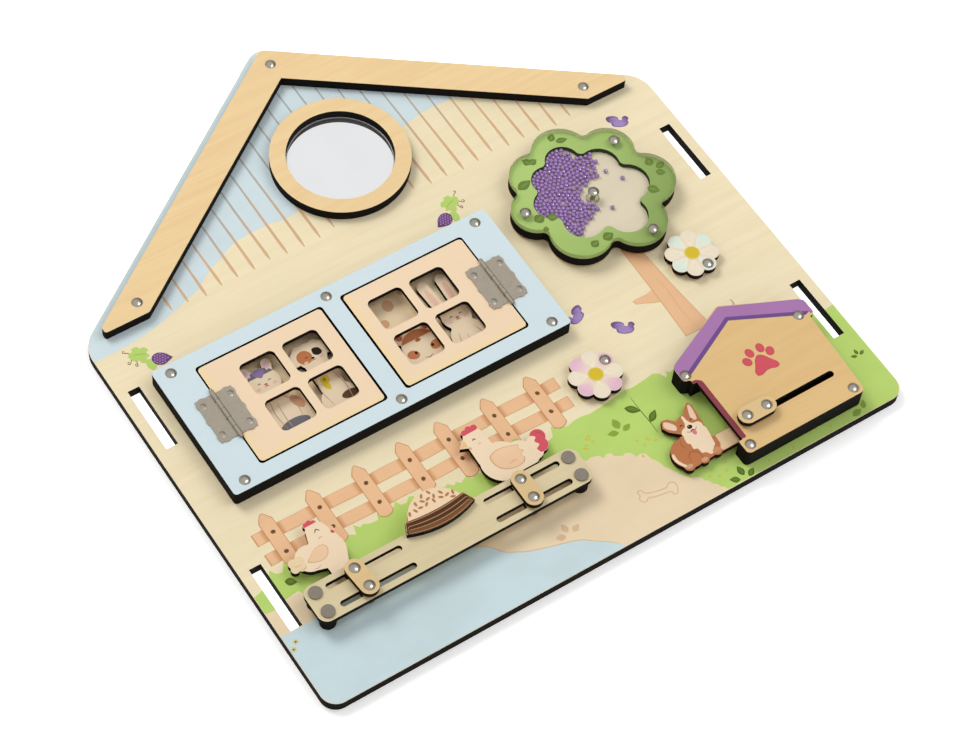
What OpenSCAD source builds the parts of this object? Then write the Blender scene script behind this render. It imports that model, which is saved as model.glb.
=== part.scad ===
// House-shaped wooden busy board: layered laser-cut plywood with hinged doors, sliding animals,
// a turning tree full of beads and two swivelling flowers.
// It lies on its back: X runs along the bottom edge, Y up the house, Z out of the face.

/* [Board] */
// Width across the walls
board_w = 340; // [334:1:400]
// Height of the side walls
wall_h = 234.5; // [232:0.5:260]
// Rise of the roof above the walls
roof_rise = 120.4; // [112:0.1:140]
// Thickness of every plywood layer
ply = 3; // [2.6:0.1:3.6]
// Radius of the two lower corners
corner_r = 8.5; // [4:0.5:14]
// Radius of the eave corners
eave_r = 18; // [8:1:22]
// Radius of the ridge corner
ridge_r = 10; // [4:0.5:14]

/* [Strap slots] */
// Width of each slot
strap_w = 6.5; // [5:0.1:8]
// Length of each slot
strap_l = 38.5; // [25:0.5:42]
// From the slot's centre to the board's side
strap_inset = 9; // [8:0.5:9.5]
// Height of the lower pair
strap_low = 63.9; // [50:0.1:70]
// Height of the upper pair
strap_high = 181; // [165:0.5:195]

/* [Roof trim] */
// From the roof's edge to the trim
trim_inset = 5; // [2:0.5:6]
// Width of each leg of the trim
trim_w = 17.8; // [14:0.2:20]
// From the middle to the end of an eave
trim_end = 158.3; // [150:0.1:159]
// From the top of the walls down to the trim's foot
trim_drop = 1.9; // [0:0.1:3]

/* [Mirror] */
// Centre height of the porthole
mirror_y = 267.8; // [262:0.1:272]
// Outer radius of the ring
ring_r = 37.2; // [34:0.1:40]
// Width of the ring
ring_w = 8.6; // [6:0.1:11]
// Thickness of the mirror
mirror_t = 1.2; // [1:0.1:2]

/* [Window] */
// Centre of the window across
window_x = -53.6; // [-58:0.1:-52]
// Centre of the window up the board
window_y = 158.1; // [156:0.1:162]
// Width of the frame
window_w = 196; // [192:0.5:200]
// Height of the frame
window_h = 82; // [80:0.5:86]
// Width of one door opening
opening_w = 73.2; // [70:0.1:76]
// Height of a door opening
opening_h = 64.3; // [62:0.1:68]
// Width of the post between the openings
mullion = 10.5; // [8:0.1:12]
// Width of the ledge that a door closes on
ledge = 2.5; // [1.5:0.1:4]
// From the frame's rivets to its top and bottom edges
window_rivet_edge = 5.4; // [4:0.1:7]
// From the frame's outer rivets to its ends
window_rivet_end = 8.5; // [5:0.1:10]

/* [Doors] */
// Thickness of a door
door_t = 2.8; // [2.4:0.1:3]
// Gap round a door at its top and bottom
door_gap = 1.1; // [0.6:0.1:1.5]
// Gap at the free edge, for a fingertip
finger_gap = 1.3; // [1.2:0.1:3]
// Side of a pane
pane = 20; // [16:0.1:21]
// Bar between two panes
pane_bar = 4.6; // [3:0.1:6]
// Corner radius of a pane
pane_r = 3; // [1:0.1:5]
// How far the panes sit off the door's middle, away from its hinge
pane_shift = 4.7; // [2:0.1:6]

/* [Hinges] */
// Length of the knuckle barrel
hinge_l = 29.6; // [24:0.1:34]
// Width of one leaf from the pin
leaf_w = 10.8; // [9:0.1:12]
// Thickness of the leaf
leaf_t = 0.7; // [0.5:0.05:1]
// Radius of the barrel
barrel_r = 1.2; // [1.1:0.05:1.4]
// Radius of the pin
hinge_pin_r = 0.6; // [0.5:0.05:0.7]
// From the pin to a nail
nail_x = 7.7; // [6:0.1:8.5]
// Spacing of a leaf's two nails
nail_pitch = 18.5; // [15:0.1:20]

/* [Slide rail] */
// Centre of the rail across
rail_x = -74.7; // [-76:0.1:-74]
// Centre of the rail up the board
rail_y = 45.5; // [42:0.1:46]
// Length of the rail
rail_l = 155.3; // [154:0.1:160]
// Height of the rail
rail_h = 21.4; // [20:0.1:26]
// Spacing of the two slots, and of the two rows of posts
slot_pitch = 11.5; // [10:0.1:12]
// Width of a slot
slot_w = 3.4; // [2.9:0.05:3.6]
// From the rail's end to its posts
post_end = 5.6; // [5:0.1:6]
// Radius of a post
post_r = 4.15; // [3:0.05:4.3]
// Rest position of the left hen's pins
left_hen_x = -124.6; // [-126:0.1:-122]
// Left hen's slide to the left
left_hen_back = 13.8; // [8:0.1:14]
// Left hen's slide to the right
left_hen_forth = 24.5; // [10:0.1:25]
// Lean of the left hen and its handle
left_hen_lean = 5.5; // [0:0.1:6]
// Rest position of the right hen's pins
right_hen_x = -30.8; // [-32:0.1:-30]
// Right hen's slide to the left
right_hen_back = 19; // [10:0.1:19]
// Right hen's slide to the right
right_hen_forth = 20.8; // [10:0.1:21]

/* [Kennel] */
// Left end of the kennel's floor
kennel_x = 73.8; // [72:0.1:76]
// Bottom of the kennel
kennel_y = 6.4; // [5:0.1:9]
// Width of its floor
kennel_w = 73; // [72:0.1:78]
// Height of its walls
kennel_h = 50; // [49:0.1:54]
// Height of the ridge above the walls
kennel_rise = 29.6; // [26:0.1:34]
// Height of the doorway's sill above the kennel's bottom
sill = 8.5; // [7:0.1:9]
// Height of the doorway
doorway_h = 39; // [37:0.1:40]
// Wall on the far side of the hollow
far_wall = 6; // [5:0.1:8]
// Rest position of the dog's first pin
dog_x = 84.8; // [84:0.1:87]
// Height of the dog's pins above the board's bottom
dog_y = 23.2; // [22:0.1:25]
// Slide of the dog into the kennel
dog_travel = 40; // [20:0.5:40]
// Spacing of the dog's two pins
dog_pitch = 11.8; // [10:0.1:12]
// Width of the kennel's slot
dog_slot_w = 3.6; // [3.1:0.05:4]

/* [Tree] */
// Pivot of the tree's crown across
tree_x = 98.9; // [98:0.1:101]
// Pivot of the tree's crown up the board
tree_y = 177.8; // [176:0.1:180]
// Radius that softens the notches between the crown's lobes
notch_r = 3.2; // [1:0.1:4]
// Thickness of the clear cover
cover_t = 3; // [2:0.1:4]
// Diameter of a bead
bead_d = 2.3; // [2:0.1:2.5]
// Radius of the sleeve round the pivot inside the crown
hub_r = 3.6; // [3:0.1:5]

/* [Flowers] */
// Reach of a flower's petals
flower_r = 14.4; // [11:0.1:14.4]
// Number of petals
petals = 8; // [6:1:10]
// From the flower's middle to its rivet
flower_pin = 10.1; // [8:0.1:10.1]
// Centre of the upper flower
daisy_pos = [123.6, 122.9];
// Centre of the lower flower
blossom_pos = [38.9, 87.1];

/* [Fasteners] */
// Radius of a rivet's head
head_r = 2.95; // [2.5:0.05:3.2]
// Height of a rivet's head
head_h = 1.7; // [1:0.1:2]
// Radius of a rivet's shank
shank_r = 1.25; // [1:0.05:1.3]
// Radius of a rivet's tail
tail_r = 3.2; // [2.5:0.1:3.6]
// Thickness of a rivet's tail
tail_t = 0.9; // [0.5:0.1:1.2]
// Room round a tail in the back panel
tail_room = 1.3; // [0.5:0.1:2]
// Thickness of a washer and of the gap it keeps
washer_t = 1.5; // [1:0.1:2]
// Radius of a small washer
washer_r = 2.7; // [2.2:0.1:2.8]
// Width of a handle
handle_w = 9.8; // [8:0.1:10]
// Thickness of a handle
handle_t = 3; // [2.5:0.1:4]

/* [Hidden] */
$fn = 64;

birch = "#f1e2be";
golden = "#f0d4a0";
honey = "#e3bf8a";
steel = "#a8a4a0";

turn_gap = 0.2;   // between a turning piece and what it turns on
slide_gap = 0.3;  // between a sliding piece and its guide
run_fit = 0.08;   // round a pin that turns
snug = 0.03;      // round a shank in its own piece
face = 2 * ply;   // the board's printed face
ridge_h = wall_h + roof_rise;
pitch_n = norm([board_w / 2, roof_rise]) / (board_w / 2);
top_y = ridge_h - ridge_r * (pitch_n - 1);
eave_slope = roof_rise / (board_w / 2);

// Roof trim
trim_ridge = ridge_h - trim_inset * pitch_n;
trim_under = trim_ridge - trim_w * pitch_n;
trim_foot = wall_h - trim_drop;
trim_mid = (trim_ridge + trim_under) / 2;
roof_rivet_x = trim_end - 22.6;
roof_rivets_at = [[0, trim_mid], [-roof_rivet_x, trim_mid - eave_slope * roof_rivet_x - 1],
    [roof_rivet_x, trim_mid - eave_slope * roof_rivet_x - 1]];

// Window and doors
frame_t = 3 * ply;
half_open = mullion / 2 + opening_w / 2;
window_rivets_at = [for (i = [-1:1], j = [-1, 1])
    [window_x + i * (window_w / 2 - window_rivet_end), window_y + j * (window_h / 2 - window_rivet_edge)]];
hinge_axis_z = face + frame_t + barrel_r;
hinge_off = half_open + opening_w / 2 - 0.1;
hinge_gap = 0.8;                 // from the pin's axis to the door's edge
door_w = opening_w - 0.1 - hinge_gap - finger_gap;
door_h = opening_h - 2 * door_gap;
hinge_rise = [1.0, -1.4];        // the left and right hinges' heights off the window's middle
knuckles = 5;
knuckle = hinge_l / knuckles;
nail_r = 0.8;
nail_head = [1.8, 0.45];         // radius and height of a nail's head
nail_l = leaf_t + door_t - 0.4;

// Rail and hens: the plate stands on posts that leave room for a hen and a washer
hen_z = face + ply;
rail_z = hen_z + ply + washer_t;
grip_z = rail_z + ply + washer_t;
slot_rows = [rail_y - slot_pitch / 2, rail_y + slot_pitch / 2];
posts_at = [for (s = [-1, 1], y = slot_rows) [rail_x + s * (rail_l / 2 - post_end), y]];
lean_x = slot_pitch / 2 * tan(left_hen_lean);
tab_w = 5.6;

// Kennel and dog
kennel_t = 3 * ply;
kennel_top = face + kennel_t + ply;
dog_z = face + washer_t;
dog_grip_z = kennel_top + washer_t;
kennel_mid = kennel_x + kennel_w / 2 + 1.2;
strap_end = 3.2;  // from the dog's second pin to the end of its strap
kennel_wall = kennel_y + kennel_h;
kennel_rivets_at = [[kennel_x + 4.4, kennel_y + sill / 2], [kennel_x + kennel_w - 4.8, kennel_y + sill / 2],
    [kennel_x + 0.1, kennel_wall + 3.6], [kennel_x + kennel_w - 2.6, kennel_wall + 3.6]];

// Tree and flowers: everything that turns stands one washer off the face
turn_z = face + washer_t + turn_gap;
tree_top = turn_z + 2 * ply + cover_t;
// Lobes of the crown: bearing, distance and radius of each, then the same for its window
lobes = [[91, 29.6, 15.8, 93, 26.2, 9.5], [41, 28.6, 14.5, 46, 19.7, 11], [-12.4, 29.3, 16, -6.4, 20.7, 11.5],
    [-68.2, 27.2, 16, -67, 20.9, 11.3], [-138.5, 24.6, 17, -140, 16.8, 11.2],
    [169.3, 31.9, 13.4, 164, 22.8, 9.3], [129.4, 31, 14.3, 127, 24.7, 9]];
tree_rivets_at = [[38.2, 36.2], [169.5, 38.4], [-69, 37.6]];
daisy_turn = 20;
blossom_turn = 28.3;
daisy_pin = daisy_pos + flower_pin * [cos(-70), sin(-70)];
blossom_pin = blossom_pos + flower_pin * [cos(blossom_turn), sin(blossom_turn)];

board_rivets_at = concat(roof_rivets_at, window_rivets_at, posts_at, kennel_rivets_at,
    [[tree_x, tree_y], daisy_pin, blossom_pin]);

function unit(v) = v / norm(v);
function left(v) = [-v[1], v[0]];
function bearing(a, d) = d * [cos(a), sin(a)];

// Puts the house's own axes, from the middle of its bottom edge, in the part's frame
module house() {
    translate([0, -top_y / 2, 0]) children();
}

module plate(z, t = ply) {
    translate([0, 0, z]) linear_extrude(t) children();
}

// Outline with an arc at each corner: circles joined by a polygon through their tangent points
module outline(p, r) {
    n = len(p);
    in = [for (i = [0:n - 1]) left(unit(p[i] - p[(i + n - 1) % n]))];
    cen = [for (i = [0:n - 1]) p[i] + (in[i] + in[(i + 1) % n]) * r[i] / (1 + in[i] * in[(i + 1) % n])];
    polygon([for (i = [0:n - 1]) each (r[i] > 0
        ? [cen[i] - in[i] * r[i], cen[i] - in[(i + 1) % n] * r[i]]
        : [p[i]])]);
    for (i = [0:n - 1]) if (r[i] > 0) translate(cen[i]) circle(r[i]);
}

module rounded(w, h, r) {
    outline([[-w / 2, -h / 2], [w / 2, -h / 2], [w / 2, h / 2], [-w / 2, h / 2]], [r, r, r, r]);
}

module stadium(a, b, r) {
    l = norm(b - a);
    translate(a) rotate(atan2(b[1] - a[1], b[0] - a[0])) {
        circle(r);
        translate([l, 0]) circle(r);
        translate([0, -r]) square([l, 2 * r]);
    }
}

module holes(points, r) {
    for (p = points) translate(p) circle(r);
}

// Domed rivet: its head sits on z = 0, its shank goes down by l and ends in a flat tail
module rivet(l) {
    ball = (head_r * head_r + head_h * head_h) / (2 * head_h);
    intersection() {
        translate([0, 0, head_h - ball]) sphere(ball);
        cylinder(r = head_r + 1, h = head_h + 1);
    }
    translate([0, 0, -l]) cylinder(r = shank_r, h = l + head_h / 2);
    translate([0, 0, -l - tail_t]) cylinder(r = tail_r, h = tail_t);
}

// Rivets from a seat down through the front panel
module board_rivets(points, seat) {
    for (p = points) translate([p[0], p[1], seat]) rivet(seat - ply);
}

module house_outline() {
    w = board_w / 2;
    outline([[-w, 0], [w, 0], [w, wall_h], [0, ridge_h], [-w, wall_h]],
        [corner_r, corner_r, eave_r, ridge_r, eave_r]);
}

module strap_slots() {
    for (s = [-1, 1], y = [strap_low, strap_high])
        translate([s * (board_w / 2 - strap_inset), y]) square([strap_w, strap_l], center = true);
}

module back_panel() {
    color(birch) house() plate(0) difference() {
        house_outline();
        strap_slots();
        holes(board_rivets_at, tail_r + tail_room);
    }
}

module front_panel() {
    color(birch) house() plate(ply) difference() {
        house_outline();
        strap_slots();
        holes(board_rivets_at, shank_r + snug);
    }
}

// Chevron under the ridge, cut square at its eaves
module trim_layer(z) {
    foot_x = (trim_under - trim_foot) / eave_slope;
    tip_y = trim_ridge - eave_slope * trim_end;
    color(golden) house() plate(z) difference() {
        outline([[-trim_end, trim_foot], [-foot_x, trim_foot], [0, trim_under], [foot_x, trim_foot],
            [trim_end, trim_foot], [trim_end, tip_y], [0, trim_ridge], [-trim_end, tip_y]],
            [1.5, 0, 0, 0, 1.5, 2, 4, 2]);
        holes(roof_rivets_at, shank_r + snug);
    }
}

module roof_trim_lower() { trim_layer(face); }
module roof_trim_upper() { trim_layer(face + ply); }

module roof_rivets() {
    color(steel) house() board_rivets(roof_rivets_at, face + 2 * ply);
}

module mirror_ring(z) {
    color(golden) house() translate([0.5, mirror_y, 0]) plate(z) difference() {
        circle(ring_r, $fn = 128);
        circle(ring_r - ring_w, $fn = 128);
    }
}

module mirror_ring_lower() { mirror_ring(face); }
module mirror_ring_upper() { mirror_ring(face + ply); }

module mirror_disc() {
    color("#e4e6ea") house() translate([0.5, mirror_y, face])
        cylinder(r = ring_r - ring_w - turn_gap, h = mirror_t, $fn = 128);
}

// One layer of the window frame, with openings smaller than the doors by the ledge
module window_layer(z, inset) {
    color("#d6e5ea") house() plate(z) difference() {
        translate([window_x, window_y]) rounded(window_w, window_h, 2);
        for (s = [-1, 1]) translate([window_x + s * half_open, window_y])
            rounded(opening_w - 2 * inset, opening_h - 2 * inset, 2);
        holes(window_rivets_at, shank_r + snug);
        if (inset == 0) for (s = [0, 1]) translate([hinge_x(s), hinge_y(s)])
            holes([for (t = [-1, 1]) [(2 * s - 1) * nail_x, t * nail_pitch / 2]], nail_r + snug);
    }
}

function hinge_x(s) = window_x + (2 * s - 1) * hinge_off;
function hinge_y(s) = window_y + hinge_rise[s];

module window_frame_lower() { window_layer(face, ledge); }
module window_frame_middle() { window_layer(face + ply, ledge); }
module window_frame_top() { window_layer(face + 2 * ply, 0); }

module window_frame_rivets() {
    color(steel) house() board_rivets(window_rivets_at, face + frame_t);
}

// Puts a right-handed hinge or door at side s, with its pin along Y; the left one is mirrored
module at_hinge(s) {
    house() translate([hinge_x(s), window_y, 0]) mirror([1 - s, 0, 0]) children();
}

// Leaf on the +X side of the pin, with wavy edges, and its share of the knuckles
module leaf(mine) {
    z = hinge_axis_z - barrel_r;
    step = knuckle + turn_gap;
    l = hinge_l - 3;
    difference() {
        union() {
            plate(z, leaf_t) difference() {
                union() {
                    translate([0, -l / 2]) square([leaf_w - 0.6, l]);
                    for (t = [-1, 0, 1]) translate([leaf_w - 3.2, t * (l / 2 - 3)]) circle(3.2);
                    for (t = [-1, 1]) translate([nail_x - 1, t * (l / 2 - 2)]) circle(2.6);
                }
                holes([for (t = [-1, 1]) [nail_x, t * nail_pitch / 2]], nail_r + snug);
            }
            for (i = mine) translate([0, -hinge_l / 2 + i * knuckle + turn_gap / 2, hinge_axis_z])
                rotate([-90, 0, 0]) cylinder(r = barrel_r, h = knuckle - turn_gap);
        }
        for (i = [0:knuckles - 1]) if (len(search(i, mine)) == 0)
            translate([-5, -hinge_l / 2 + i * knuckle - turn_gap / 2, z - 1])
                cube([5 + barrel_r + slide_gap, knuckle + turn_gap, 5]);
        translate([0, 0, hinge_axis_z]) rotate([90, 0, 0])
            cylinder(r = hinge_pin_r + run_fit, h = hinge_l + 4, center = true);
    }
}

module frame_leaf(s) {
    color(steel) house() translate([hinge_x(s), hinge_y(s), 0]) mirror([1 - s, 0, 0]) leaf([0, 2, 4]);
}

module door_leaf(s) {
    color(steel) house() translate([hinge_x(s), hinge_y(s), 0]) mirror([s, 0, 0]) leaf([1, 3]);
}

module nails(s, side) {
    color(steel) house() translate([hinge_x(s), hinge_y(s), face + frame_t + leaf_t])
        for (t = [-1, 1]) translate([side * (2 * s - 1) * nail_x, t * nail_pitch / 2, 0]) {
            ball = (pow(nail_head[0], 2) + pow(nail_head[1], 2)) / (2 * nail_head[1]);
            intersection() {
                translate([0, 0, nail_head[1] - ball]) sphere(ball);
                cylinder(r = nail_head[0] + 1, h = nail_head[1] + 1);
            }
            translate([0, 0, -nail_l]) cylinder(r = nail_r, h = nail_l + nail_head[1] / 2);
        }
}

module left_hinge_frame_leaf() { frame_leaf(0); }
module right_hinge_frame_leaf() { frame_leaf(1); }
module left_hinge_door_leaf() { door_leaf(0); }
module right_hinge_door_leaf() { door_leaf(1); }
module left_door_nails() { nails(0, -1); }
module right_door_nails() { nails(1, -1); }

module frame_hinge_nails() {
    nails(0, 1);
    nails(1, 1);
}

// Pins with an upset head at each end
module hinge_pins() {
    color(steel) house() for (s = [0, 1]) translate([hinge_x(s), hinge_y(s), hinge_axis_z])
        rotate([90, 0, 0]) {
            cylinder(r = hinge_pin_r, h = hinge_l + 0.6, center = true);
            for (t = [0, 1]) mirror([0, 0, t]) translate([0, 0, hinge_l / 2 - turn_gap / 2])
                cylinder(r = hinge_pin_r + 0.4, h = 0.9);
        }
}

// Door drawn for the right opening: it reaches from the hinge at x = 0 towards -X
module door(s) {
    color("#f6dcb6") at_hinge(s) plate(face + frame_t - door_t, door_t) difference() {
        translate([-hinge_gap - door_w / 2, 0]) rounded(door_w, door_h, 2);
        for (i = [-1, 1], j = [-1, 1])
            translate([-hinge_gap - door_w / 2 - pane_shift, 0] + (pane + pane_bar) / 2 * [i, j])
                rounded(pane, pane, pane_r);
        holes([for (t = [-1, 1]) [-nail_x, hinge_rise[s] + t * nail_pitch / 2]], nail_r + snug);
    }
}

module left_door() { door(0); }
module right_door() { door(1); }

// Seated animal: body, neck, head and two ears of a given length that lean apart
module sitting(p, body, head_y, head, ear_r, ear_l, spread) {
    brow = head_y + head * 0.6;
    translate(p) {
        translate([0, body + 0.5]) circle(body);
        translate([0.3 - body, 0]) square([2 * body - 0.6, body + 0.5]);
        translate([-head * 0.8, body]) square([head * 1.6, head_y - body]);
        translate([0, head_y]) circle(head);
        for (s = [-1, 1])
            stadium([s * head * 0.55, brow], [s * (head * 0.55 + spread), brow + ear_l], ear_r);
    }
}

module left_room_animals() {
    floor_y = window_y - opening_h / 2 + ledge + 1;
    mid = window_x - half_open;
    color("#efe6d8") house() plate(face) {
        sitting([mid - 9, floor_y], 12.5, 39.5, 8.5, 2.6, 4.5, 1.5);
        sitting([mid + 19, floor_y], 10.5, 41, 8, 3.4, -4, 4.5);
    }
}

module right_room_animals() {
    floor_y = window_y - opening_h / 2 + ledge + 1;
    mid = window_x + half_open;
    color("#f3ece2") house() plate(face) {
        sitting([mid - 14, floor_y], 11.5, 17.5, 10.5, 3.2, 2, 2);
        sitting([mid + 10.5, floor_y], 10, 24, 8, 3.2, 18, 1);
    }
}

// Slots follow the pins' travel
module pin_slot(x, y, back, forth, w, end) {
    stadium([x - back - end, y], [x + forth + end, y], w / 2);
}

module rail_plate() {
    color(birch) house() plate(rail_z) difference() {
        translate([rail_x, rail_y]) rounded(rail_l, rail_h, 5);
        for (k = [0, 1]) {
            pin_slot(left_hen_x - (2 * k - 1) * lean_x, slot_rows[k], left_hen_back, left_hen_forth,
                slot_w, slide_gap);
            pin_slot(right_hen_x, slot_rows[k], right_hen_back, right_hen_forth, slot_w, slide_gap);
        }
        holes(posts_at, shank_r + snug);
    }
}

module rail_posts() {
    color(honey) house() for (p = posts_at) translate([p[0], p[1], face]) difference() {
        cylinder(r = post_r, h = rail_z - face);
        translate([0, 0, -1]) cylinder(r = shank_r + snug, h = rail_z - face + 2);
    }
}

// Flat-headed pins that hold the rail and its posts to the board
module rail_pins() {
    color(steel) house() for (p = posts_at) translate([p[0], p[1], 0]) {
        translate([0, 0, ply - tail_t]) cylinder(r = tail_r, h = tail_t);
        translate([0, 0, ply - tail_t / 2]) cylinder(r = shank_r, h = rail_z + tail_t / 2);
        translate([0, 0, rail_z + ply]) cylinder(r = 3.5, h = 0.9);
    }
}

// Heap of grain over a round-bottomed trough
module trough() {
    base_y = rail_y + 4.6;
    sag = 4;
    half = 19.3;
    arc = (half * half + sag * sag) / (2 * sag);
    color("#b98a5e") house() translate([rail_x, base_y, 0]) plate(rail_z + ply) {
        intersection() {
            translate([0, arc]) circle(arc, $fn = 128);
            translate([-half, 0]) square([2 * half, sag]);
        }
        polygon([[-half, sag], [half, sag], [16.5, 10.2], [-16.5, 10.2]]);
        intersection() {
            translate([0, 4.6]) circle(15.8);
            translate([-17, 9]) square([34, 14]);
        }
        for (a = [28:20.67:152]) translate([0, 5.2]) translate(bearing(a, 11.2)) circle(4);
    }
}

// Places the drawing of a hen's tab and pins: upright at its pins, with the lean of the hen
module at_pins(x, lean) {
    translate([x, rail_y, 0]) rotate(lean) children();
}

function pin_rows(lean) = [for (k = [-1, 1]) [0, k * slot_pitch / 2 / cos(lean)]];

// A hen's outline with the tab that carries its two pins under the rail
module hen_plate(x, lean) {
    plate(hen_z) difference() {
        union() {
            translate([x, rail_y]) children();
            at_pins(x, lean) stadium([0, -slot_pitch / 2], [0, slot_pitch / 2 + 12], tab_w / 2);
        }
        at_pins(x, lean) holes(pin_rows(lean), shank_r + snug);
    }
}

module left_hen() {
    color("#f6e6cc") house() hen_plate(left_hen_x, left_hen_lean) {
        union() {
            translate([-3.9, 25]) circle(9.5);
            translate([-13.2, 25.2]) circle(7.4);
            translate([-2.9, 36.5]) circle(5.4);
            polygon([[-10.4, 30.5], [5.2, 28.5], [2.4, 37], [-8.2, 37.4]]);
            polygon([[-8.6, 12.4], [1, 12.4], [4.6, 20.5], [-15.5, 20.5], [-15.4, 18.3], [-8.7, 16.4]]);
            for (c = [[-21.7, 26.6, 2.6], [-22.4, 23.5, 2.2], [-18.2, 26.8, 2.4]])
                translate([c[0], c[1]]) circle(c[2]);
            for (c = [[-5.8, 41.4, 1.6], [-3.8, 42.1, 1.6], [-1.9, 41.1, 1.5]])
                translate([c[0], c[1]]) circle(c[2]);
            polygon([[0, 39], [0, 31], [4.4, 31], [5.2, 34.6]]);
        }
    }
}

module right_hen() {
    color("#f6e6cc") house() hen_plate(right_hen_x, 0) {
        union() {
            translate([1.4, 23]) circle(11.2);
            translate([11, 21.6]) circle(8);
            translate([17.6, 20]) circle(5.2);
            translate([-3.3, 41]) circle(5.7);
            polygon([[-8.8, 41], [-9.3, 27], [2.6, 29], [2.4, 40]]);
            polygon([[-8.4, 43.4], [-13, 39.2], [-7.6, 37]]);
            polygon([[-8.6, 18], [-4.8, 13.4], [16, 13.6], [20, 16]]);
            for (c = [[-6, 45.8, 1.8], [-3.1, 46.8, 1.9], [-0.2, 46.4, 1.8], [24, 26, 4.1],
                    [22.4, 21.4, 4.4]])
                translate([c[0], c[1]]) circle(c[2]);
        }
    }
}

module hen_handle(x, lean) {
    color(birch) house() plate(grip_z, handle_t) at_pins(x, lean) difference() {
        stadium([0, -slot_pitch / 2], [0, slot_pitch / 2], handle_w / 2);
        holes(pin_rows(lean), shank_r + snug);
    }
}

module hen_rivets(x, lean) {
    color(steel) house() at_pins(x, lean) for (p = pin_rows(lean))
        translate([p[0], p[1], grip_z + handle_t]) rivet(grip_z + handle_t - hen_z);
}

// A washer under the rail and one above it, on each of a hen's pins
module hen_washers(x, lean) {
    color("#e8e4dc") house() at_pins(x, lean) for (p = pin_rows(lean), z = [hen_z + ply, grip_z])
        translate([p[0], p[1], z == grip_z ? z - washer_t + slide_gap : z]) washer(washer_t - slide_gap);
}

module washer(h, r = washer_r) {
    difference() {
        cylinder(r = r, h = h);
        translate([0, 0, -1]) cylinder(r = shank_r + snug, h = h + 2);
    }
}

module left_hen_handle() { hen_handle(left_hen_x, left_hen_lean); }
module right_hen_handle() { hen_handle(right_hen_x, 0); }
module left_hen_rivets() { hen_rivets(left_hen_x, left_hen_lean); }
module right_hen_rivets() { hen_rivets(right_hen_x, 0); }
module left_hen_washers() { hen_washers(left_hen_x, left_hen_lean); }
module right_hen_washers() { hen_washers(right_hen_x, 0); }

// The kennel's outline, with its eaves; the side wall is cut back at the doorway by the step
module kennel_outline(step) {
    w = kennel_w / 2;
    eave = 4.2;
    translate([kennel_mid, 0]) difference() {
        union() {
            outline([[-w - 1, kennel_y], [w - 1.6, kennel_y], [w + 1, kennel_wall], [-w - 0.8, kennel_wall]],
                [2.5, 3, 0, 0]);
            outline([[-w - eave, kennel_wall + 1], [-w + 2, kennel_wall - 1], [w - 2, kennel_wall - 1],
                [w + eave, kennel_wall + 1], [w + eave, kennel_wall + 10],
                [0, kennel_y + kennel_h + kennel_rise],
                [-w - eave, kennel_wall + 10]], [2, 0, 0, 2, 3, 3, 3]);
        }
        translate([-w - 10, kennel_y + sill]) square([9 + step, doorway_h]);
    }
}

module kennel_slot() {
    pin_slot(dog_x, dog_y, 0, dog_pitch + dog_travel, dog_slot_w, slide_gap);
}

module kennel_front() {
    color(honey) house() plate(kennel_top - ply) difference() {
        kennel_outline(2.4);
        kennel_slot();
        holes(kennel_rivets_at, shank_r + snug);
    }
}

// Ply that holds the front off the board round the hollow, open at the doorway
module kennel_spacer(z) {
    color(honey) house() plate(z) difference() {
        kennel_outline(0);
        translate([kennel_mid - kennel_w, kennel_y + sill])
            square([kennel_w * 1.5 - far_wall - 1, doorway_h]);
        holes(kennel_rivets_at, shank_r + snug);
    }
}

module kennel_spacer_lower() { kennel_spacer(face); }
module kennel_spacer_middle() { kennel_spacer(face + ply); }
module kennel_spacer_upper() { kennel_spacer(face + 2 * ply); }

module kennel_rivets() {
    color(steel) house() board_rivets(kennel_rivets_at, kennel_top);
}

function dog_pins() = [[dog_x, dog_y], [dog_x + dog_pitch, dog_y]];

module dog() {
    strap_y = dog_y - 5.6;
    color("#c98756") house() plate(dog_z) difference() {
        union() {
            translate([dog_x, strap_y]) {
                translate([-32.6, 8.2]) circle(8.7);
                translate([-22.8, 20.6]) circle(6.9);
                polygon([[-31.4, 17.4], [-36, 4], [-29, -0.4], [-18.6, 0.6], [-16.8, 8], [-16.2, 19.4]]);
                polygon([[-35.6, 26], [-34, 22.6], [-28.8, 18], [-26.6, 25.2], [-30.6, 29.4], [-33.6, 30]]);
                polygon([[-23, 26.2], [-18, 18], [-15.6, 23.4], [-14.8, 29.6], [-16, 32.6], [-18, 31.4]]);
                for (c = [[-36.2, 1.8, 3], [-27.6, 1.3, 2.7], [-19.3, 1.9, 2.6]])
                    translate([c[0], c[1]]) circle(c[2]);
                translate([-20, 0.1]) square([20 + dog_pitch + strap_end, 9.6]);
            }
        }
        holes(dog_pins(), shank_r + snug);
    }
}

module dog_handle() {
    color(birch) house() plate(dog_grip_z, handle_t) difference() {
        stadium([dog_x, dog_y], [dog_x + dog_pitch, dog_y], handle_w / 2);
        holes(dog_pins(), shank_r + snug);
    }
}

module dog_rivets() {
    color(steel) house() for (p = dog_pins())
        translate([p[0], p[1], dog_grip_z + handle_t]) rivet(dog_grip_z + handle_t - dog_z);
}

// Sleeves that fill the kennel's depth, and washers above the front
module dog_washers() {
    color("#e8e4dc") house() for (p = dog_pins()) {
        translate([p[0], p[1], dog_z + ply]) washer(kennel_top - ply - slide_gap - dog_z - ply);
        translate([p[0], p[1], kennel_top + slide_gap]) washer(washer_t - slide_gap);
    }
}

// The crown's outline, or its window
module crown(window) {
    offset(r = -notch_r) offset(r = notch_r) {
        for (b = lobes) translate(window ? bearing(b[3], b[4]) : bearing(b[0], b[1]))
            circle(window ? b[5] : b[2]);
        circle(window ? 20 : 30);
    }
}

module crown_holes(r) {
    for (b = tree_rivets_at) translate(bearing(b[0], b[1])) circle(r);
}

module at_tree() {
    house() translate([tree_x, tree_y, 0]) children();
}

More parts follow.
